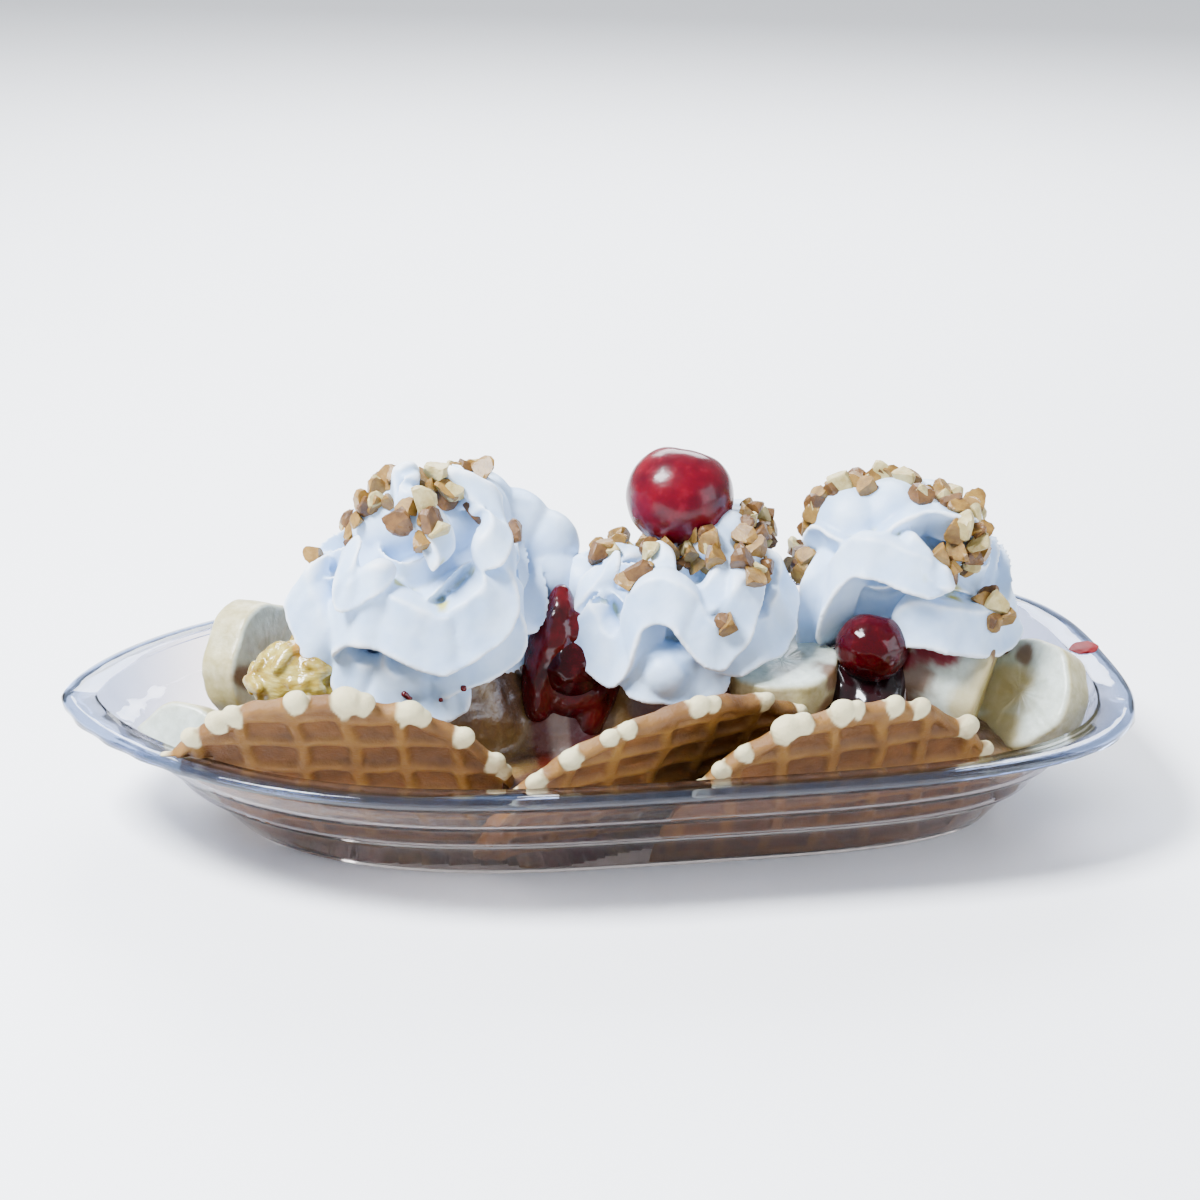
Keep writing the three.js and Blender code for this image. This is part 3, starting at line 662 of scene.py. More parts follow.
def crushed_pineapple(fruit):
    """Crushed pineapple: wet, stringy, translucent yellow."""
    material, tree, where = new_material("crushed pineapple")
    strings = add(tree, SCALED, {"Vector": where, "Scale": (0.5, 0.5, 1.6)})
    fibre = add(tree, NOISE, {"Vector": strings} | grain(2.0, 5.0))
    colour = add(tree, RAMP, {"Fac": fibre, "stops": [(0.3, "84691c"), (0.5, fruit), (0.7, "c0b266")]})
    ripe = add(tree, NOISE, {"Vector": where} | grain(4.5, 1.0))
    ripe = add(tree, STRETCHED, {"Value": ripe, "From Min": 0.6, "From Max": 0.68})
    ripe = add(tree, MATHS, {"operation": "MULTIPLY", 0: ripe, 1: 0.6})
    settings = {"Roughness": 0.2} | film(0.4, 0.08) | soft(0.3, 2.5, (1.0, 0.8, 0.2))
    return shaded(material, layered(tree, colour, (ripe, "b0761a")), settings, (fibre, 0.6, 0.8))


def plain_paint(name, colour):
    """Pale studio floor: matt paint with a faint mottle."""
    material, tree, where = new_material(name)
    mottle = add(tree, NOISE, {"Vector": where} | grain(60.0))
    mottle = add(tree, MATHS, {"operation": "MULTIPLY", 0: mottle, 1: 0.1})
    return shaded(material, layered(tree, colour, (mottle, "d8dade")), {"Roughness": 0.6})


# ---- pieces --------------------------------------------------------------------------------------


def piece(name, vertices, faces, material, slot, replaces=(), attributes=None):
    """A finished piece at the origin: smooth, riding on the one body, with its finish."""
    mesh = mesh_of(name, vertices, [list(map(int, face)) for face in faces])
    for key, values in (attributes or {}).items():
        layer = mesh.attributes.new(key, "FLOAT", "POINT")
        layer.data.foreach_set("value", np.clip(values, 0, 1).astype(np.float32))
    return finished(linked(name, mesh), material, replaces)


def finished(obj, material, replaces=()):
    mesh = obj.data
    mesh.materials.clear()
    mesh.materials.append(material)
    mesh.polygons.foreach_set("use_smooth", np.ones(len(mesh.polygons), bool))
    mesh.update()
    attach(obj, "root")
    if replaces:
        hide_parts(*replaces)
    return obj


def rounded_levels(profile, times=2, share=0.22):
    """A profile of (half length, half width, height) with its corners cut to soft rounds."""
    profile = np.array(profile, float)
    for _ in range(times):
        first, second = profile[:-1], profile[1:]
        near = first * (1 - share) + second * share
        far = first * share + second * (1 - share)
        cut = np.empty((2 * len(near), 3))
        cut[0::2], cut[1::2] = near, far
        profile = np.vstack([profile[:1], cut, profile[-1:]])
    return profile


def boat(settings):
    turns = even_turns(settings.stations)
    mouth = (RIM_LENGTH - FLANGE_TIP, RIM_WIDTH - FLANGE_SIDE, RIM_HEIGHT)
    outer = rounded_levels([*WALL_LEVELS[:-1], (mouth[0] + WALL, mouth[1] + WALL, RIM_HEIGHT - WALL)])
    inner = outer.copy()
    inner[:, :2] -= WALL
    inner[:, 2] += WALL
    inner[-1, 2] = RIM_HEIGHT
    edge = RIM_HEIGHT - WALL
    rim = [
        (RIM_LENGTH - 1.6, RIM_WIDTH - 1.6, edge),
        (RIM_LENGTH - WALL - 0.1, RIM_WIDTH - WALL - 0.1, edge - 0.25),
        (RIM_LENGTH - WALL, RIM_WIDTH - WALL, RIM_HEIGHT - SKIRT),
        (RIM_LENGTH, RIM_WIDTH, RIM_HEIGHT - SKIRT),
        (RIM_LENGTH, RIM_WIDTH, RIM_HEIGHT - 0.5),
        (RIM_LENGTH - 0.5, RIM_WIDTH - 0.5, RIM_HEIGHT),
        (RIM_LENGTH - 2.0, RIM_WIDTH - 2.0, RIM_HEIGHT + 0.15),
    ]
    profile = [*outer, *rim, *inner[::-1]]
    rings = [outline(a, b, z, turns) for a, b, z in profile]
    vertices, faces = tube(rings)
    # Small flutes that the mould pressed into the two tips of the upper wall.
    along = np.abs(vertices[:, 0] / RIM_LENGTH)
    height = smoothstep(14, 20, vertices[:, 2]) * (1 - smoothstep(24.5, 26.5, vertices[:, 2]))
    around = np.arctan2(vertices[:, 1], np.abs(vertices[:, 0]) - 60)
    flute = settings.flute * np.cos(around * 26) * smoothstep(0.72, 0.86, along) * height
    vertices[:, 0] -= np.sign(vertices[:, 0]) * np.clip(flute, -1, 1) * (along < 0.99)
    # Painted reflection: the tips and the whole rim are marked for a blue-grey colour that stands in for
    # reflections.
    bluer = 0.8 * smoothstep(0.66, 0.92, along)
    bluer[len(outer) * len(turns) : (len(outer) + len(rim)) * len(turns)] = 1
    plastic = clear_plastic(settings.tint)
    return piece("clear_boat", vertices, faces, plastic, "boat", ["boat"], {"bluer": bluer})


def star_rope(spec, settings):
    """The cream rope: a star section swept along a rising spiral that closes on its own middle."""
    steps = round(spec["turns"] * 110)
    points_round = settings.points * 16
    phi = np.arange(points_round) / points_round * 2 * math.pi
    rings = []
    for k in range(steps + 1):
        t = k / steps
        turned = t * spec["turns"]
        angle = spec["start"] + turned * 2 * math.pi
        closing = max(0.0, (turned - 0.95) / (spec["turns"] - 0.95))
        reach = spec["ring"] * (1 - closing**1.3)
        ends = min(1, t / 0.05, (1 - t) / 0.05 + 0.25)
        pulse = 1 + 0.05 * math.sin(11 * turned + spec["seed"])
        radius = spec["rope"] * (1 - 0.2 * t) * math.sqrt(max(0.02, 1 - (1 - ends) ** 2)) * pulse
        z = spec["low"] + (spec["high"] - spec["low"]) * t
        wave = settings.wave * math.sin(settings.waves * 2 * math.pi * turned + spec["seed"])
        twist = settings.twist * turned + wave
        crest = np.abs(np.sin(settings.points / 2 * phi)) ** settings.sharpness
        r = radius * (1 - settings.depth * crest)
        outward = np.array([math.cos(angle), math.sin(angle), 0])
        middle = np.array([spec["at"][0], spec["at"][1], z]) + reach * outward
        ring = middle + r[:, None] * (
            np.cos(phi + twist)[:, None] * outward + np.sin(phi + twist)[:, None] * np.array([0, 0, 1])
        )
        rings.append(ring)
    return tube(rings[::-1])


def curve_through(points, step):
    """Points about `step` apart on a smooth curve through the given ones."""
    points = np.array(points, float)
    padded = np.vstack([2 * points[0] - points[1], points, 2 * points[-1] - points[-2]])
    out = []
    for k in range(len(points) - 1):
        a, b, c, d = padded[k : k + 4]
        bend, skew = 2 * a - 5 * b + 4 * c - d, 3 * b - a - 3 * c + d
        count = max(1, round(np.linalg.norm(c - b) / step))
        out += [0.5 * (2 * b + (c - a) * t + bend * t**2 + skew * t**3) for t in np.arange(count) / count]
    return np.array([*out, points[-1]])


def fold(at, line, back, lift, radius, seed):
    """A lip of cream: round where it leaves the swirl, and thinned out to a ragged crest along its line."""
    crest = curve_through(line, 0.8)
    count = len(crest)
    ragged = noise(crest, 3.2, seed)[:, None]
    inward = np.array([at[0], at[1], 0.0]) - crest
    inward[:, 2] = 0
    inward = unit(inward)
    crest = crest - inward * (0.9 + 0.7 * ragged)
    body = crest + inward * back + np.array([0, 0, lift])
    along = unit(np.gradient(crest, axis=0))
    t = np.linspace(0, 1, count)
    taper = np.sqrt(np.clip(np.minimum(t, 1 - t) / 0.14, 0.02, 1))
    way = np.repeat([1.0, -1.0], 14)
    rings = []
    for k in range(count):
        out = (crest[k] - body[k]) * (0.35 + 0.65 * taper[k])
        reach = np.linalg.norm(out)
        out /= reach
        side = unit(np.cross(along[k], out))
        r = radius * taper[k]
        x = np.concatenate([np.linspace(-0.95 * r, reach, 14), np.linspace(reach, -0.95 * r, 14)])
        share = np.clip(x / reach, 0, 1)
        thinned = r * (1 - share) ** 1.35 + 0.4 * taper[k]
        thick = np.where(x < 0, np.sqrt(np.maximum(r**2 - x**2, 0.01)), thinned)
        rings.append(body[k] + out * x[:, None] + side * (thick * way)[:, None])
    return tube(rings)


def cream_swirl(name, spec, settings, material):
    """A piped swirl: rope, folds and lobes as one soft skin, with marks for its pits and its crests."""
    at = spec["at"]
    parts = [
        star_rope(spec, settings),
        sphere((at[0], at[1], spec["low"] - 1), spec["ring"] * 1.35, squash=0.8),
        sphere((at[0], at[1], spec["high"] - 4), spec["rope"] * 0.68),
    ]
    parts += [fold(at, *given, spec["seed"] + k) for k, given in enumerate(FOLDS[name])]
    parts += [sphere(middle, radius) for middle, radius in LOBES[name]]
    points, quads = remeshed(name, parts, settings.voxel, settings.soften)
    ripple = 0.25 * rough(points, 8.0, spec["seed"]) + 0.07 * noise(points, 1.8, spec["seed"] + 9)
    points = pressed_inside(raised(points, quads, ripple), 0.2)
    smooth = relaxed(points, quads, 30, 0.6)
    # Painted shade and highlight: concave places are marked for a yellowish shade, convex crests for a whiter
    # highlight.
    crevice = np.einsum("ij,ij->i", smooth - points, vertex_normals(points, quads))
    # Painted shade: the listed pits also get the yellowish shade.
    pit_shade = spots(points, SHADED_CREAM_PITS.get(name, []), (2.0, 0.4), 61, 0.4) * smoothstep(-0.7, -0.1, crevice)
    attributes = {
        "crevice": np.maximum(smoothstep(0.3, 1.0, crevice), pit_shade),
        "crest": smoothstep(0.1, 0.7, -crevice),
    }
    return piece(name + "_piped", points, quads, material, "cream", [name], attributes)


def slice_profile(radius, thick, rim=1.1, face_steps=26, rim_steps=4, side_steps=12):
    """Half the section of a slice with a soft edge, as shares of its radius and its thickness."""
    profile = [(r, -0.5) for r in np.linspace(0.04, 1 - rim / radius, face_steps)]
    for angle in np.linspace(0, math.pi / 2, rim_steps + 1)[1:]:
        out = 1 - rim / radius * (1 - math.sin(angle))
        profile.append((out, -0.5 + rim / thick * (1 - math.cos(angle))))
    heights = np.linspace(-0.5 + rim / thick, 0.5 - rim / thick, side_steps + 2)[1:-1]
    profile += [(1.0, height) for height in heights]
    profile += [(r, -h) for r, h in profile[: face_steps + rim_steps][::-1]]
    return np.array(profile)


def banana_slice(name, spec, settings, material):
    """A fluted slice with its seed lines, fibres and stains."""
    middle, axis, radius, thick = spec
    seed = sum(map(ord, name))
    around = 96
    turn = np.arange(around) / around * 2 * math.pi
    flutes = 1 + 0.03 * np.cos(5 * turn + seed) + 0.012 * np.cos(9 * turn + 2 * seed)
    profile = slice_profile(radius, thick)
    r = profile[:, :1] * radius * flutes[None, :]
    rings = np.stack([r * np.cos(turn), r * np.sin(turn), np.repeat(profile[:, 1:] * thick, around, 1)], -1)
    local, faces = tube(rings)
    share = np.linalg.norm(local[:, :2], axis=1) / radius
    on_face = smoothstep(0.42, 0.49, np.abs(local[:, 2]) / thick)
    angle = np.arctan2(local[:, 1], local[:, 0])
    lobes = np.abs(np.cos(1.5 * angle + seed)) ** 3
    seeds = smoothstep(0.1, 0.2, share) * (1 - smoothstep(0.42, 0.52, share)) * lobes * on_face
    seeds *= 0.5 + 0.5 * smoothstep(-0.2, 0.5, noise(local, 1.6, seed))
    fibres = noise(np.stack([angle * 9, share * 3, np.sign(local[:, 2])], -1), 1.0, seed)
    quads = [face if len(face) == 4 else face + [face[2]] for face in faces]
    lift = 0.1 * fibres * on_face - 0.3 * (1 - smoothstep(0.0, 0.5, share)) * on_face - 0.2 * seeds
    lift += 0.3 * rough(local, 7.0, seed)
    local = raised(local, quads, lift)
    turned = Vector((0, 0, 1)).rotation_difference(Vector(axis)).to_matrix()
    points = pressed_inside(local @ np.array(turned).T + np.array(middle), 0.3)
    stain = smoothstep(0.45, 0.8, rough(points, 9.0, seed + 4)) * settings.stain
    attributes = {
        "syruped": spots(points, SYRUP_SOAKED, (3.0, 0.4), 53),
        # Painted shade: yellow-olive patches on flesh turned from the light; the listed slice's faces take
        # the side's yellow as shade.
        "ripe": 0.65 * spots(points, PAINTED_SHADE_FLESH, (6.0, 0.3), 57, 0.6),
        "side": on_face if name in PAINTED_SHADE_FACES else smoothstep(0.8, 1.0, share) * (1 - 0.8 * on_face),
        "seeds": 0.55 * seeds,
        "stain": np.maximum(stain, 0.85 * spots(points, CARAMEL_SOAKED, (4.0, 0.5), 51)),
    }
    return piece(name + "_cut", points, faces, material, "banana", [name], attributes)


def waffle_frame(spec):
    """Columns: along the straight edge, up the leaning face, and out of the face."""
    along, lean = spec[1:3]
    edge = unit(np.array([along[0], along[1], 0.0]))
    out = np.array([edge[1], -edge[0], 0.0])
    rise = np.array([0, 0, math.cos(lean)]) + out * math.sin(lean)
    return np.stack([edge, rise, np.cross(edge, rise)])


def away_from_rib(value, pitch, phase):
    """Distance to the nearest rib's middle line."""
    return np.abs(((value - phase) / pitch + 0.5) % 1 - 0.5) * pitch


def pits(u, v, phase, settings):
    """Depth of the pressed pits at a place on a waffle, from 0 on a rib to 1 in a pit."""
    half = settings.rib / 2
    flat = np.column_stack([u.ravel(), v.ravel(), np.zeros(u.size)])
    u = u + settings.slant * (v - 20) + settings.wander * noise(flat, 8.0, 17).reshape(u.shape)
    v = v + settings.wander * noise(flat, 8.0, 23).reshape(v.shape)
    across = away_from_rib(u, settings.pitch, phase)
    up = away_from_rib(v, settings.row, 3.0)
    return smoothstep(half, half + 1.3, across) * smoothstep(0.5 * half, 0.5 * half + 1.6, up)


def waffle_plate(radius, phase, seed, settings):
    """Vertices and faces of a half disc with pressed pits in both faces, its straight edge at the foot."""
    columns, rows = 190, 110
    u = np.linspace(-0.985, 0.985, columns) * radius
    scallop = 0.8 * smoothstep(0.8, 4.5, away_from_rib(u, settings.pitch, phase))
    wobble = 0.6 * noise(np.stack([u, u * 0 + seed, u * 0], -1), 5.0, seed)
    top = np.sqrt(radius**2 - u**2) - scallop + wobble
    t = np.linspace(0, 1, rows)
    across = np.repeat(u[None, :], rows, 0)
    up = WAFFLE_FOOT + t[:, None] * (top - WAFFLE_FOOT)[None, :]
    inner = np.minimum(top[None, :] - up, radius - np.abs(across))
    pit = pits(across, up, phase, settings) * smoothstep(1.5, 3.5, inner)
    edge = 1.0 - np.sqrt(np.clip(1 - (1 - np.clip(inner / 2.2, 0, 1)) ** 2, 0, 1))
    flat = np.stack([across, up], -1).reshape(-1, 2)
    relief = 0.3 * rough(np.column_stack([flat, np.full(len(flat), seed)]), 5.0, seed).reshape(up.shape)
    height = WAFFLE_THICK / 2 - settings.pit * pit - 1.3 * edge + relief
    a = (np.arange(rows - 1)[:, None] * columns + np.arange(columns - 1)).ravel()
    quads = np.stack([a, a + 1, a + columns + 1, a + columns], -1)
    border = np.concatenate(
        [
            np.arange(columns),
            np.arange(1, rows) * columns + columns - 1,
            (rows - 1) * columns + np.arange(columns - 2, -1, -1),
            np.arange(rows - 2, 0, -1) * columns,
        ]
    )
    after = np.roll(border, -1)
    walls = np.stack([border, border + rows * columns, after + rows * columns, after], -1)
    faces = np.vstack([quads, quads[:, ::-1] + rows * columns, walls]).tolist()
    both = [np.stack([across, up, side * height], -1).reshape(-1, 3) for side in (1, -1)]
    return np.vstack(both), faces


def batter_beads(name, radius):
    """Drops on the disc's edge as (vertices, faces), and each one's middle, size and direction."""
    beads, hearts = [], []
    for turn, size in BEADS[name]:
        way = np.array([math.cos(math.radians(turn)), math.sin(math.radians(turn)), 0])
        across = np.array([-way[1], way[0], 0])
        heart = way * (radius + 0.05 * size) + np.array([0, 0, 0.5])
        lump, faces = sphere((0, 0, 0), 1.0, 24, 16)
        flat = (lump @ across)[:, None] * across * size * 0.95 + (lump @ way)[:, None] * way * size * 0.85
        beads.append((flat + lump * [0, 0, size * 0.72] + heart, faces))
        hearts.append((heart, size, way))
    return beads, hearts


def batter_cover(local, hearts, seed):
    """Where the skin is pale batter: the drops, each with a tongue that narrows inwards."""
    batter = np.zeros(len(local))
    for heart, size, way in hearts:
        offset = local - heart
        across = offset[:, 0] * -way[1] + offset[:, 1] * way[0]
        inwards = -(offset[:, 0] * way[0] + offset[:, 1] * way[1])
        narrow = size * (0.98 - 0.8 * smoothstep(0, size * 1.4, inwards))
        here = 1 - smoothstep(0.75, 1.1, np.abs(across + 0.4 * noise(local, 2.0, seed)) / narrow)
        here *= 1 - smoothstep(size * 0.8, size * 1.4, inwards + 0.8 * noise(local, 2.4, seed + 1))
        batter = np.maximum(batter, here * (local[:, 2] > -1.5))
    return batter


def waffle(name, spec, settings, material):
    """A half disc with batter beads, leaning on its straight edge."""
    middle, _, _, radius, phase = spec
    seed = sum(map(ord, name))
    plate = waffle_plate(radius, phase, seed, settings)
    beads, hearts = batter_beads(name, radius)
    local, quads = remeshed(name, [plate, *beads], settings.voxel, 2, 0.4)
    local = raised(local, quads, 0.18 * rough(local, 2.4, seed + 7))
    inner = radius - np.hypot(local[:, 0], np.maximum(local[:, 1], 0))
    toasted = smoothstep(-0.5, 0.5, rough(local, 7.0, seed + 2)) * (1 - smoothstep(2.0, 6.0, inner))
    attributes = {
        "pit": pits(local[:, 0], local[:, 1], phase, settings) * smoothstep(1.0, 3.5, inner),
        "batter": batter_cover(local, hearts, seed),
        "toasted": toasted,
    }
    points = pressed_inside(local @ waffle_frame(spec) + np.array(middle), 0.25)
    return piece(name + "_baked", points, quads, material, "waffle", [name], attributes)


def cherry(name, spec, material, slot, wrinkle):
    middle, radius = spec
    seed = sum(map(ord, name))
    points, faces = sphere((0, 0, 0), radius, 128, 96, 0.97)
    normals = unit(points)
    pole = unit(np.array([0.3, 0.35, 0.9]))
    dimple = np.exp(-((1 - normals @ pole) / 0.06)) * 0.18 * radius
    lump = wrinkle * rough(points, radius * 0.8, seed) + 0.3 * wrinkle * noise(points, radius * 0.25, seed)
    points = points + normals * (lump - dimple)[:, None] + np.array(middle)
    return piece(name + "_wet", points, faces, material, slot, [name])


def behind_waffles(points):
    """Points that would stand in front of a waffle, pushed back onto its inner face."""
    for middle, along, lean, radius, _ in WAFFLES.values():
        axes = waffle_frame((middle, along, lean))
        local = (points - np.array(middle)) @ axes.T
        covered = np.hypot(local[:, 0], np.maximum(local[:, 1], 0)) < radius - 1
        covered &= (local[:, 1] > WAFFLE_FOOT) & (local[:, 2] > -WAFFLE_THICK / 2)
        local[covered, 2] = -WAFFLE_THICK / 2
        points = local @ axes + np.array(middle)
    return pressed_inside(points, -0.12)


def ice_cream(settings, material):
    """Scoops in melted ice cream that fills the boat's foot, streaked by the sauces above."""
    parts = [sphere(at, radius, 72, 48) for at, radius in [*SCOOPS, SLUMP]]
    turns = even_turns(240)
    levels_in_wall = [*WALL_LEVELS[:4], (95.5, 44.4, MELT_LEVEL)]
    melt = [(a - WALL + 0.1, b - WALL + 0.1, z + WALL) for a, b, z in levels_in_wall]
    rings = [outline(a, b, z, turns) for a, b, z in [*melt, (80, 34, MELT_LEVEL + 5)]]
    for ring in rings:
        ring[:, 0] = np.clip(ring[:, 0], *MELT_ENDS)
    points, quads = remeshed("ice_cream", [*parts, tube(rings)], settings.voxel, 6)
    free = smoothstep(MELT_LEVEL - 2, MELT_LEVEL + 3, points[:, 2])
    scooped = 0.9 * rough(points, 7.0, 2) + 0.5 * rough(points * [1, 1, 2.2], 3.0, 6)
    points = raised(points, quads, scooped * free)
    points = behind_waffles(pressed_inside(points, -0.12))
    x, y, z = points.T
    runs = rough(points * [1, 1, 0.4], 6.0, 12)
    red = smoothstep(0, 1, 1.4 - np.abs(x + 8.5 + 2 * runs) / 7 + 0.4 * runs)
    drips = smoothstep(0, 1, 1.2 - np.abs(x - 18) / 16 + 0.9 * runs) * smoothstep(20, 26, z) * 0.8
    below = smoothstep(14, 18, z) * (1 - smoothstep(27, 30, z)) * (y < 0)
    pale = smoothstep(0, 0.6, 1 - np.abs(x + 11) / 2.6 + 0.25 * runs) * below
    orange = smoothstep(0, 0.6, 1 - np.abs(x + 14.6) / 2.2 + 0.4 * runs) * below
    dark = smoothstep(0, 1, 1.6 - np.hypot(x - 54, (z - 34) * 0.7) / 9 + 0.4 * runs)
    dark = np.maximum(dark, 0.3 * smoothstep(0.2, 0.8, runs) * (1 - smoothstep(12, 18, z)))
    fruit = rough(points * [1, 1, 1.6], 13.0, 21)
    pale = np.maximum(pale, smoothstep(0.05, 0.35, fruit) * (1 - smoothstep(6, 11, z)))
    attributes = {"red": np.maximum(red, drips), "orange": 0.9 * orange, "dark": dark, "pale": 0.85 * pale}
    return piece("ice_cream_scoops", points, quads, material, "ice_cream", ["ice_cream"], attributes)


def poured(name, streams, material, slot, inset=0.15):
    """Thick sauce: balls joined into streams, each ball given by its middle and its radius."""
    parts = []
    for stream in streams:
        balls = np.array(stream, float)
        if len(balls) > 1:
            balls = curve_through(balls, 1.2)
        parts += [sphere(ball[:3], ball[3], 20, 14) for ball in balls]
    points, quads = remeshed(name, parts, 0.45, 4)
    points = raised(points, quads, 0.25 * rough(points, 3.0, 31))
    return piece(name, pressed_inside(points, inset), quads, material, slot)


RED_SYRUP = [
    [(-8.8, -5, 48.5, 2.2), (-9.4, -7.5, 45, 3.8), (-10.6, -9, 41.5, 4.9), (-12, -9.5, 37.5, 5.0),
     (-13.4, -10.8, 33.5, 4.4), (-14.2, -12, 30, 3.8), (-14.8, -13.6, 27, 3.0)],
    [(-7, -8.5, 42, 4.6), (-3, -8.5, 38, 5.0), (-1, -9.5, 33.5, 4.8), (-2.5, -11, 29.5, 4.8),
     (-3.8, -13, 26.5, 4.2), (-4.8, -14.8, 23.5, 3.4)],
    [(-11, -11, 30, 5.0), (-7.5, -12, 28, 5.0), (-4, -12, 29, 5.0)],
    [(66, -17.5, 38.6, 1.2), (70, -18, 39.3, 1.7), (75, -16.5, 39.4, 1.5), (79, -13.5, 38.6, 1.0)],
    [(-43, -26.2, 37.5, 0.9), (-42, -26.5, 36.6, 0.7)],
    [(-36, -27.4, 36.4, 0.8)],
    [(-31.5, -27.4, 38.6, 0.8)],
]
DARK_SAUCE = [
    [(47.2, -17, 32.5, 3.4), (47.5, -20, 30, 4.0), (48, -23, 27, 3.8), (49, -27, 23.5, 3.6)],
    [(58.5, -17, 34, 2.8), (57, -20, 31, 3.6), (54.5, -23.5, 27.5, 3.8), (52, -27, 23.5, 3.6)],
    [(51.5, -16, 33, 5.6), (51.5, -20, 29, 5.2), (51.8, -23, 28, 4.6), (52, -26, 25.5, 3.8)],
]
CARAMEL = [
    [(59.8, -20.6, 31.5, 1.1), (59.3, -21.4, 28.5, 1.5), (58.6, -22.6, 25.5, 2.0)],
    [(57, -26, 24, 2.4), (62, -27, 22.5, 2.0), (68, -27, 21.5, 1.6)],
    [(84.5, -9.5, 33.5, 1.7), (86.5, -9, 34.5, 1.2)],
]


def flange_smear(material):
    """Syrup wiped along the far side of the rim: a thin film with a ragged edge."""
    points, faces = sphere((0, 0, 0), 1.0, 64, 24)
    way = unit(np.array([12.0, 10.8, 0]))
    across = np.array([-way[1], way[0], 0])
    reach = 1 + 0.15 * noise(points, 0.5, 6)
    local = (points @ way * 3.6 * reach)[:, None] * way + (points @ across * 2.7 * reach)[:, None] * across
    local[:, 2] = np.maximum(points[:, 2] * 0.7, -0.15)
    return piece("rim_smear", local + [107.0, 3.0, RIM_HEIGHT + 0.2], faces, material, "cherry_top")


def pineapple(material):
    """Crushed pineapple: a soft core with short wet strings pressed into it."""
    draw = np.random.default_rng(PINEAPPLE_SEED)
    at, reach = np.array(PINEAPPLE_AT), np.array(PINEAPPLE_SIZE)
    core, core_faces = sphere((0, 0, 0), 1.0, 64, 40)
    parts = [(core * reach * 0.86 + at, core_faces)]
    for _ in range(PINEAPPLE_STRINGS):
        way = unit(draw.normal(size=3))
        long = unit(np.cross(way, draw.normal(size=3)))
        wide = np.cross(way, long)
        bit, faces = sphere((0, 0, 0), 1.0, 16, 10)
        size = draw.uniform(0.75, 1.35)
        bit = bit[:, :1] * long * 2.9 * size + bit[:, 1:2] * wide * 1.25 * size + bit[:, 2:] * way * size
        parts.append((bit + way * reach * draw.uniform(0.8, 0.95) + at, faces))
    points, quads = remeshed("pineapple", parts, 0.4, 2, 0.4)
    points = pressed_inside(raised(points, quads, 0.15 * rough(points, 1.6, 5)), 0.3)
    return piece("pineapple_crushed", points, quads, material, "pineapple", ["pineapple"])


# ---- geometry nodes ------------------------------------------------------------------------------


def scatter_tree():
    """Scatters a thing over a surface, moved along its normals by a lift, where a cover attribute allows it.
    """
    tree = bpy.data.node_groups.new("Scatter on cream", "GeometryNodeTree")
    kinds = {
        "Geometry": "Geometry",
        "Piece": "Object",
        "Spacing": "Float",
        "Density": "Float",
        "Lift": "Float",
        "Seed": "Int",
        "Cover": "String",
        "Finish": "Material",
    }
    for name, kind in kinds.items():
        tree.interface.new_socket(name, in_out="INPUT", socket_type="NodeSocket" + kind)
    tree.interface.new_socket("Geometry", in_out="OUTPUT", socket_type="NodeSocketGeometry")
    given = add(tree, "NodeGroupInput", {}).node.outputs
    cover = add(tree, "GeometryNodeInputNamedAttribute", {"data_type": "FLOAT", "Name": given["Cover"]})
    values = {
        "distribute_method": "POISSON",
        "Mesh": given["Geometry"],
        "Distance Min": given["Spacing"],
        "Density Max": given["Density"],
        "Density Factor": cover,
        "Seed": given["Seed"],
    }
    spread = add(tree, "GeometryNodeDistributePointsOnFaces", values).node.outputs
    values = {"operation": "SCALE", "Vector": spread["Normal"], "Scale": given["Lift"]}
    out = add(tree, "ShaderNodeVectorMath", values, "Vector")
    moved = add(tree, "GeometryNodeSetPosition", {"Geometry": spread["Points"], "Offset": out})
    seeded = {"Seed": given["Seed"]}
    turn = add(tree, RANDOM, {"data_type": "FLOAT_VECTOR", 1: (math.tau,) * 3} | seeded)
    smallest, largest = NUT_SCALES
    size = add(tree, RANDOM, {"data_type": "FLOAT", 2: smallest, 3: largest} | seeded, 1)
    thing = add(tree, "GeometryNodeObjectInfo", {"As Instance": True, "Object": given["Piece"]}, "Geometry")
    values = {"Points": moved, "Instance": thing, "Rotation": turn, "Scale": size}
    put = add(tree, "GeometryNodeInstanceOnPoints", values)
    real = add(tree, "GeometryNodeRealizeInstances", {"Geometry": put})
    painted = add(tree, "GeometryNodeSetMaterial", {"Geometry": real, "Material": given["Finish"]})
    add(tree, "NodeGroupOutput", {"Geometry": painted})
    return tree


def run_tree(tree, carrier, values):
    """Runs a tree on a copy of a carrier's mesh, and gives the plain mesh that it makes."""
    obj = linked("scatter carrier", carrier.data.copy())
    modifier = obj.modifiers.new("Scatter", "NODES")
    modifier.node_group = tree
    for item in tree.interface.items_tree:
        if item.item_type == "SOCKET" and item.in_out == "INPUT" and item.name in values:
            modifier[item.identifier] = values[item.name]
    return evaluated(obj, "scattered")


def nut_mesh(seed, length):
    """One chopped nut: a lump broken off along flat faces."""
    points, faces = sphere((0, 0, 0), 1.0, 14, 10)
    for k in range(7):
        turn = 2.4 * k + seed
        cut = unit(np.array([math.cos(turn), math.sin(turn), 1.2 * math.cos(1.7 * k + seed)]))
        over = np.maximum(points @ cut - (0.62 + 0.12 * math.sin(3 * k + seed)), 0)
        points = points - over[:, None] * cut
    points = points * np.array([0.64, 0.55, 0.5]) * length
    return mesh_of("chopped nut", points, faces)


# Darker colour of each kind, and how much wider apart than the commonest it lies.
NUT_KINDS = {"golden": ("6e4e1a", 1.0), "pale": ("9d8a52", 1.5), "brown": ("4c3012", 1.5)}


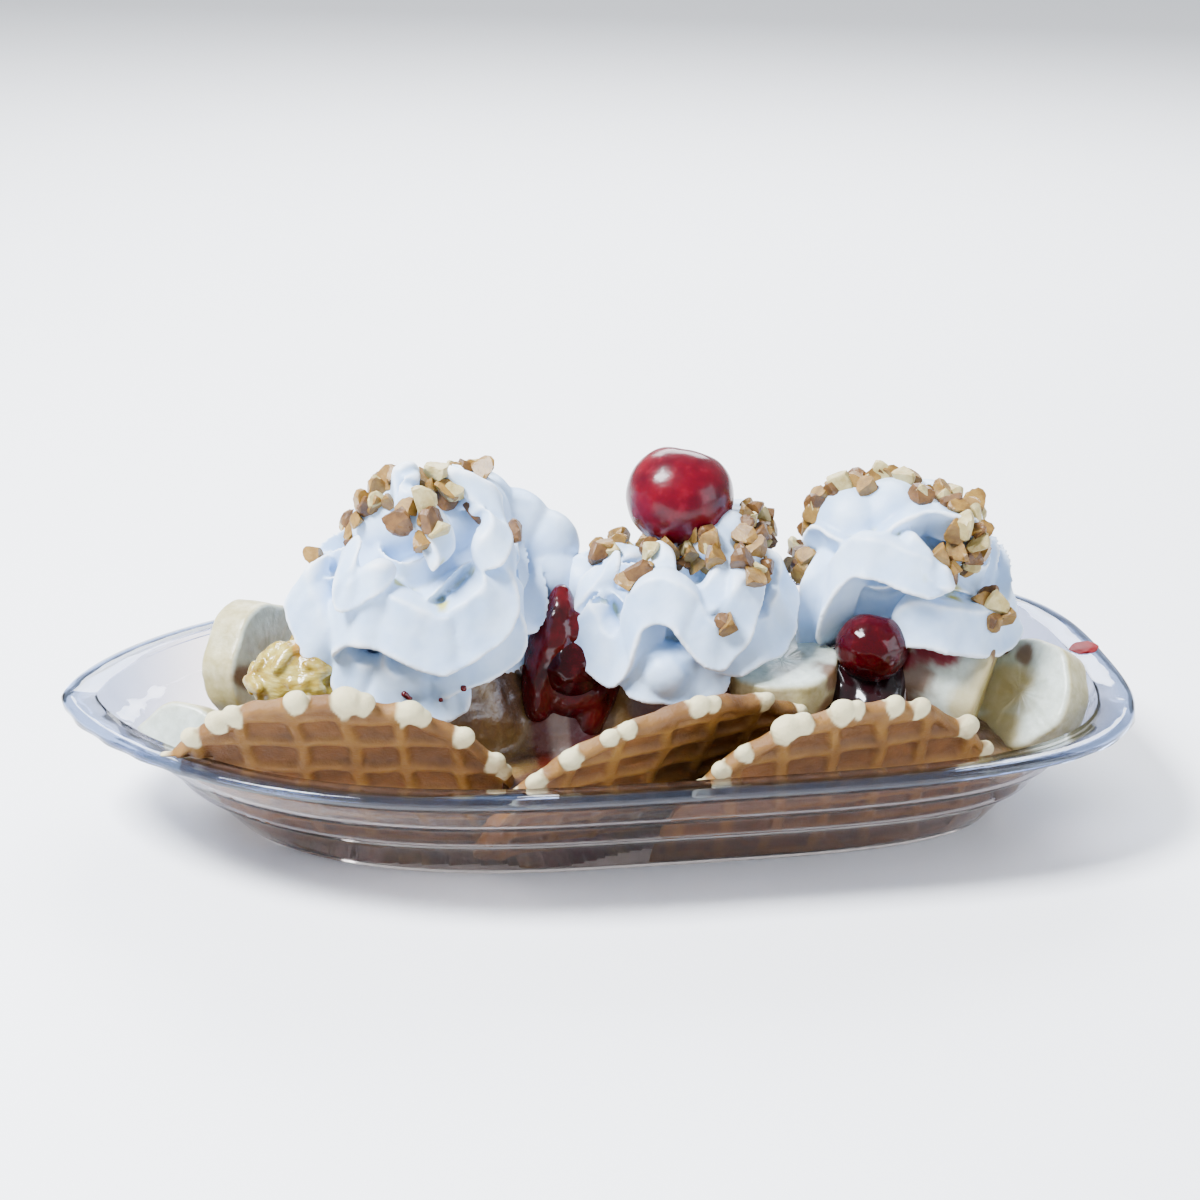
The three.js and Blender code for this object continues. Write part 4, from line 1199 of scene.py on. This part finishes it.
def heaped(points, heaps):
    """How far heaps, given by their middles and radii, cover each point."""
    cover = np.zeros(len(points))
    for x, y, z, radius in heaps:
        nearest = points[np.argmin(np.linalg.norm(points - [x, y, z], axis=1))]
        off = np.linalg.norm(points - nearest, axis=1)
        cover = np.maximum(cover, 1 - smoothstep(radius * 0.85, radius * 1.15, off))
    return cover


def nuts(settings):
    """Chopped nuts on the heaps of all the swirls, one piece for each kind."""
    tree = scatter_tree()
    for index, (kind, (dark, spacing)) in enumerate(NUT_KINDS.items()):
        material = peanut("roasted peanut, " + kind, getattr(settings, kind), dark)
        nut = linked("one nut", nut_mesh(index + settings.seed, settings.size * 1000))
        values = {
            "Piece": nut,
            "Spacing": settings.spacing * spacing,
            "Density": settings.density,
            "Lift": settings.lift,
            "Seed": settings.seed + index,
            "Cover": "nut_cover",
            "Finish": material,
        }
        parts = []
        for name in SWIRLS:
            carrier = bpy.data.objects[name + "_piped"]
            layer = carrier.data.attributes.new("nut_cover", "FLOAT", "POINT")
            cover = heaped(coordinates(carrier.data), NUT_HEAPS[name])
            layer.data.foreach_set("value", cover.astype(np.float32))
            made = run_tree(tree, carrier, values)
            carrier.data.attributes.remove(carrier.data.attributes["nut_cover"])
            if len(made.vertices):
                parts.append((coordinates(made), [list(face.vertices) for face in made.polygons]))
        bpy.data.objects.remove(nut)
        heap = piece("nuts_" + kind, *joined(parts), material, "cream")
        heap.data.polygons.foreach_set("use_smooth", np.zeros(len(heap.data.polygons), bool))


# ---- settings ------------------------------------------------------------------------------------


def swatch(name, description, colour):
    """A colour setting, with that sRGB hex colour as its default."""
    start = linear(colour)[:3]
    return FloatVectorProperty(name=name, description=description, subtype="COLOR", default=start)


class BoatSettings(PropertyGroup):
    stations: IntProperty(name="Stations", description="Points round the outline", default=320)
    flute: FloatProperty(name="Flutes", description="Depth of the tip flutes, in mm", default=0.35)
    tint: swatch("Tint", "Colour of the clear plastic", "e8dcd7")


class CreamSettings(PropertyGroup):
    points: IntProperty(name="Star points", description="Points of the nozzle's star", default=7)
    depth: FloatProperty(name="Depth", description="Groove depth, as a share of the rope", default=0.46)
    sharpness: FloatProperty(name="Sharpness", description="Under 1 makes thin crests", default=0.75)
    twist: FloatProperty(name="Twist", description="Radians that the star turns in one turn", default=1.3)
    wave: FloatProperty(name="Wave", description="Swing of the crests, in radians", default=0.3)
    waves: FloatProperty(name="Waves", description="Swings in one turn", default=5.0)
    voxel: FloatProperty(name="Voxel", description="Fineness of the mesh, in mm", default=0.47)
    soften: IntProperty(name="Soften", description="Times that the mesh is smoothed", default=2)
    # Painted light: its pale blue default stands in for cool skylight on white cream.
    white: swatch("White", "Colour of the cream between its folds and its crests", "c6ddf7")


class NutSettings(PropertyGroup):
    size: FloatProperty(name="Size", description="Length of a nut", default=0.0051, unit="LENGTH")
    spacing: FloatProperty(name="Spacing", description="Least distance", default=0.0031, unit="LENGTH")
    density: FloatProperty(name="Density", description="Nuts for each square metre", default=400000)
    lift: FloatProperty(name="Lift", description="Height above the cream", default=0.0008, unit="LENGTH")
    seed: IntProperty(name="Seed", description="Seed of the draws", default=5)
    golden: swatch("Golden", "Broken faces of the golden nuts", "8c6a2c")
    pale: swatch("Pale", "Broken faces of the pale nuts", "b9ab78")
    brown: swatch("Brown", "Broken faces of the brown nuts", "6a4820")


class IceCreamSettings(PropertyGroup):
    voxel: FloatProperty(name="Voxel", description="Fineness of the mesh, in mm", default=0.9)
    tan: swatch("Tan", "Colour of the ice cream under the caramel", "624936")


class CherrySettings(PropertyGroup):
    bright: swatch("Bright", "Skin of the cherry on top", "640014")
    dark: swatch("Dark", "Skin of the two cherries in syrup", "400006")


class SauceSettings(PropertyGroup):
    red: swatch("Red", "Colour of the cherry syrup", "380006")
    dark: swatch("Dark", "Colour of the dark sauce", "0e0406")
    caramel: swatch("Caramel", "Colour of the caramel", "402006")


class FruitSettings(PropertyGroup):
    stain: FloatProperty(name="Stain", description="Strength of caramel stains", default=0.5)
    banana: swatch("Banana", "Colour of a cut face", "cdd6cc")
    pineapple: swatch("Pineapple", "Colour of the crushed pineapple", "a28d3a")


class WaffleSettings(PropertyGroup):
    pitch: FloatProperty(name="Pitch", description="Distance between ribs, in mm", default=10.1)
    row: FloatProperty(name="Row", description="Distance between rows, in mm", default=7.4)
    rib: FloatProperty(name="Rib", description="Width of a rib's top, in mm", default=1.1)
    slant: FloatProperty(name="Slant", description="Lean of the ribs, as a slope", default=0.12)
    wander: FloatProperty(name="Wander", description="How far the ribs stray, in mm", default=0.8)
    pit: FloatProperty(name="Pit", description="Depth of the pits, in mm", default=1.25)
    voxel: FloatProperty(name="Voxel", description="Fineness of the mesh, in mm", default=0.45)
    crust: swatch("Crust", "Colour of the baked ribs", "8a6327")


class StageSettings(PropertyGroup):
    floor: swatch("Floor", "Colour of the floor", "fafafb")
    key: FloatProperty(name="Key light", description="Power of the main light", default=34.0, unit="POWER")


# ---- operators -----------------------------------------------------------------------------------


class MakeBoat(Operator):
    """Makes the clear boat"""

    bl_idname = "banana_split.boat"
    bl_label = "Clear boat"

    def execute(self, context):
        boat(context.scene.split_boat)
        return {"FINISHED"}


class MakeIceCream(Operator):
    """Makes the scoops and the melted ice cream"""

    bl_idname = "banana_split.ice_cream"
    bl_label = "Ice cream"

    def execute(self, context):
        settings = context.scene.split_ice_cream
        ice_cream(settings, ice_cream_melt(settings.tan))
        return {"FINISHED"}


class MakeCream(Operator):
    """Makes the piped swirls"""

    bl_idname = "banana_split.cream"
    bl_label = "Whipped cream"

    def execute(self, context):
        settings = context.scene.split_cream
        material = whipped_cream(settings.white)
        for name, spec in SWIRLS.items():
            cream_swirl(name, spec, settings, material)
        return {"FINISHED"}


class MakeNuts(Operator):
    """Scatters chopped nuts over the swirls"""

    bl_idname = "banana_split.nuts"
    bl_label = "Chopped nuts"

    def execute(self, context):
        nuts(context.scene.split_nuts)
        return {"FINISHED"}


class MakeCherries(Operator):
    """Makes the bright cherry and the two dark ones"""

    bl_idname = "banana_split.cherries"
    bl_label = "Cherries"

    def execute(self, context):
        settings = context.scene.split_cherries
        bright = cherry_skin("preserved cherry", "380010", settings.bright, 0.25, "7c2030")
        dark = cherry_skin("dark cherry in syrup", "2a0006", settings.dark, 0.12, "7a2028")
        cherry("cherry_top", CHERRIES["cherry_top"], bright, "cherry_top", 0.25)
        for name in ("cherry_dark_left", "cherry_dark_right"):
            cherry(name, CHERRIES[name], dark, "cherry_dark", 0.4)
        return {"FINISHED"}


class MakeSauces(Operator):
    """Pours the red syrup, the dark sauce and the caramel"""

    bl_idname = "banana_split.sauces"
    bl_label = "Sauces"

    def execute(self, context):
        settings = context.scene.split_sauces
        red = syrup("cherry syrup", settings.red, "66000c")
        poured("red_syrup", RED_SYRUP, red, "cherry_dark")
        dark = syrup("black cherry sauce", settings.dark, "22080c")
        poured("dark_sauce", DARK_SAUCE, dark, "cherry_dark")
        caramel = syrup("caramel sauce", settings.caramel, "6e4216")
        poured("caramel_sauce", CARAMEL, caramel, "ice_cream")
        flange_smear(syrup("drying cherry syrup", "6a060e", "8a0a16", 0.55, 0.0))
        return {"FINISHED"}


class MakeFruit(Operator):
    """Makes the banana slices and the pineapple"""

    bl_idname = "banana_split.fruit"
    bl_label = "Banana and pineapple"

    def execute(self, context):
        settings = context.scene.split_fruit
        material = banana_flesh(settings.banana)
        for name, spec in BANANAS.items():
            banana_slice(name, spec, settings, material)
        pineapple(crushed_pineapple(settings.pineapple))
        return {"FINISHED"}


class MakeWaffles(Operator):
    """Makes the half waffle discs"""

    bl_idname = "banana_split.waffles"
    bl_label = "Waffles"

    def execute(self, context):
        settings = context.scene.split_waffle
        material = baked_waffle(settings.crust)
        for name, spec in WAFFLES.items():
            waffle(name, spec, settings, material)
        return {"FINISHED"}


# The camera: where it stands, where it looks, and its lens.
CAMERA = {
    "at": (-83.33, -493.70, 244.54),
    "azimuth": -9.582,
    "elevation": 21.749,
    "roll": 0.815,
    "lens": 78.218,
}


def camera_matrix():
    azimuth, elevation, roll = (math.radians(CAMERA[key]) for key in ("azimuth", "elevation", "roll"))
    back = Vector(
        (
            math.sin(azimuth) * math.cos(elevation),
            -math.cos(azimuth) * math.cos(elevation),
            math.sin(elevation),
        )
    )
    level = Vector((0, 0, 1)).cross(back).normalized()
    up = back.cross(level)
    right = level * math.cos(roll) + up * math.sin(roll)
    upright = up * math.cos(roll) - level * math.sin(roll)
    turn = Matrix((right, upright, back)).transposed().to_4x4()
    return Matrix.Translation(Vector(CAMERA["at"]) * MM) @ turn


SENSOR = 36
LIT_POINT = (0, 0, 0.03)
WORLD_COLOUR, WORLD_STRENGTH = "eef3fa", 0.75
LIGHTS = [
    # name, place, width, height, share of the key's power, sRGB colour
    ("key", (-0.45, -0.1, 0.75), 0.3, 0.3, 1.0, "f4f8ff"),
    ("fill", (0.7, -0.5, 0.3), 0.6, 0.5, 0.15, "e8f0ff"),
    ("back", (0.15, 0.65, 0.5), 0.7, 0.3, 0.4, "f4f8ff"),
]


def lamp(name, place, width, height, power, colour):
    """A soft box that faces the food."""
    light = bpy.data.lights.new(name, "AREA")
    light.shape = "RECTANGLE"
    light.size, light.size_y = width, height
    light.energy = power
    light.color = linear(colour)[:3]
    towards = Vector(LIT_POINT) - Vector(place)
    turn = towards.to_track_quat("-Z", "Y").to_matrix().to_4x4()
    linked(name, light).matrix_world = Matrix.Translation(place) @ turn


def pale_world():
    """Even light from all round."""
    world = bpy.data.worlds.new("pale studio")
    world.use_nodes = True
    background = world.node_tree.nodes["Background"].inputs
    background["Color"].default_value = linear(WORLD_COLOUR)
    background["Strength"].default_value = WORLD_STRENGTH
    return world


def camera():
    """The camera, standing as CAMERA says."""
    lens = bpy.data.cameras.new("camera")
    lens.lens = CAMERA["lens"]
    lens.sensor_width = SENSOR
    lens.clip_start = 0.01
    eye = linked("camera", lens)
    eye.matrix_world = camera_matrix()
    return eye


class MakeStage(Operator):
    """Makes the floor, the lights and the camera"""

    bl_idname = "banana_split.stage"
    bl_label = "Studio"

    def execute(self, context):
        settings = context.scene.split_stage
        floor = linked("floor", mesh_of("floor", *ground()))
        floor.data.materials.append(plain_paint("matt floor paint", settings.floor))
        for name, place, width, height, share, colour in LIGHTS:
            lamp(name, place, width, height, settings.key * share, colour)
        context.scene.world = pale_world()
        context.scene.camera = camera()
        return {"FINISHED"}


def ground():
    """Vertices and faces of the floor, just under the boat's foot."""
    line = np.linspace(-FLOOR_REACH, FLOOR_REACH, FLOOR_STEPS + 1)
    x, y = np.meshgrid(line, line)
    points = np.stack([x.ravel(), y.ravel(), np.full(x.size, -0.05)], -1)
    across = FLOOR_STEPS + 1
    a = (np.arange(FLOOR_STEPS)[:, None] * across + np.arange(FLOOR_STEPS)).ravel()
    return points, np.stack([a, a + 1, a + across + 1, a + across], -1).tolist()


OPERATORS = [
    MakeBoat,
    MakeIceCream,
    MakeCream,
    MakeNuts,
    MakeCherries,
    MakeSauces,
    MakeFruit,
    MakeWaffles,
    MakeStage,
]


class SplitPanel(Panel):
    """Lists the pieces"""

    bl_idname = "VIEW3D_PT_banana_split"
    bl_label = "Banana split"
    bl_space_type = "VIEW_3D"
    bl_region_type = "UI"
    bl_category = "Banana split"

    def draw(self, context):
        for operator in OPERATORS:
            self.layout.operator(operator.bl_idname)


SETTINGS = {
    "split_boat": BoatSettings,
    "split_cream": CreamSettings,
    "split_nuts": NutSettings,
    "split_ice_cream": IceCreamSettings,
    "split_cherries": CherrySettings,
    "split_sauces": SauceSettings,
    "split_fruit": FruitSettings,
    "split_waffle": WaffleSettings,
    "split_stage": StageSettings,
}


def register():
    for kind in [*SETTINGS.values(), *OPERATORS, SplitPanel]:
        bpy.utils.register_class(kind)
    for key, kind in SETTINGS.items():
        setattr(bpy.types.Scene, key, PointerProperty(type=kind))


def unregister():
    for key in SETTINGS:
        delattr(bpy.types.Scene, key)
    for kind in reversed([*SETTINGS.values(), *OPERATORS, SplitPanel]):
        bpy.utils.unregister_class(kind)


def main():
    register()
    for operator in OPERATORS:
        family, name = operator.bl_idname.split(".")
        getattr(getattr(bpy.ops, family), name)()


if __name__ == "__main__":
    main()
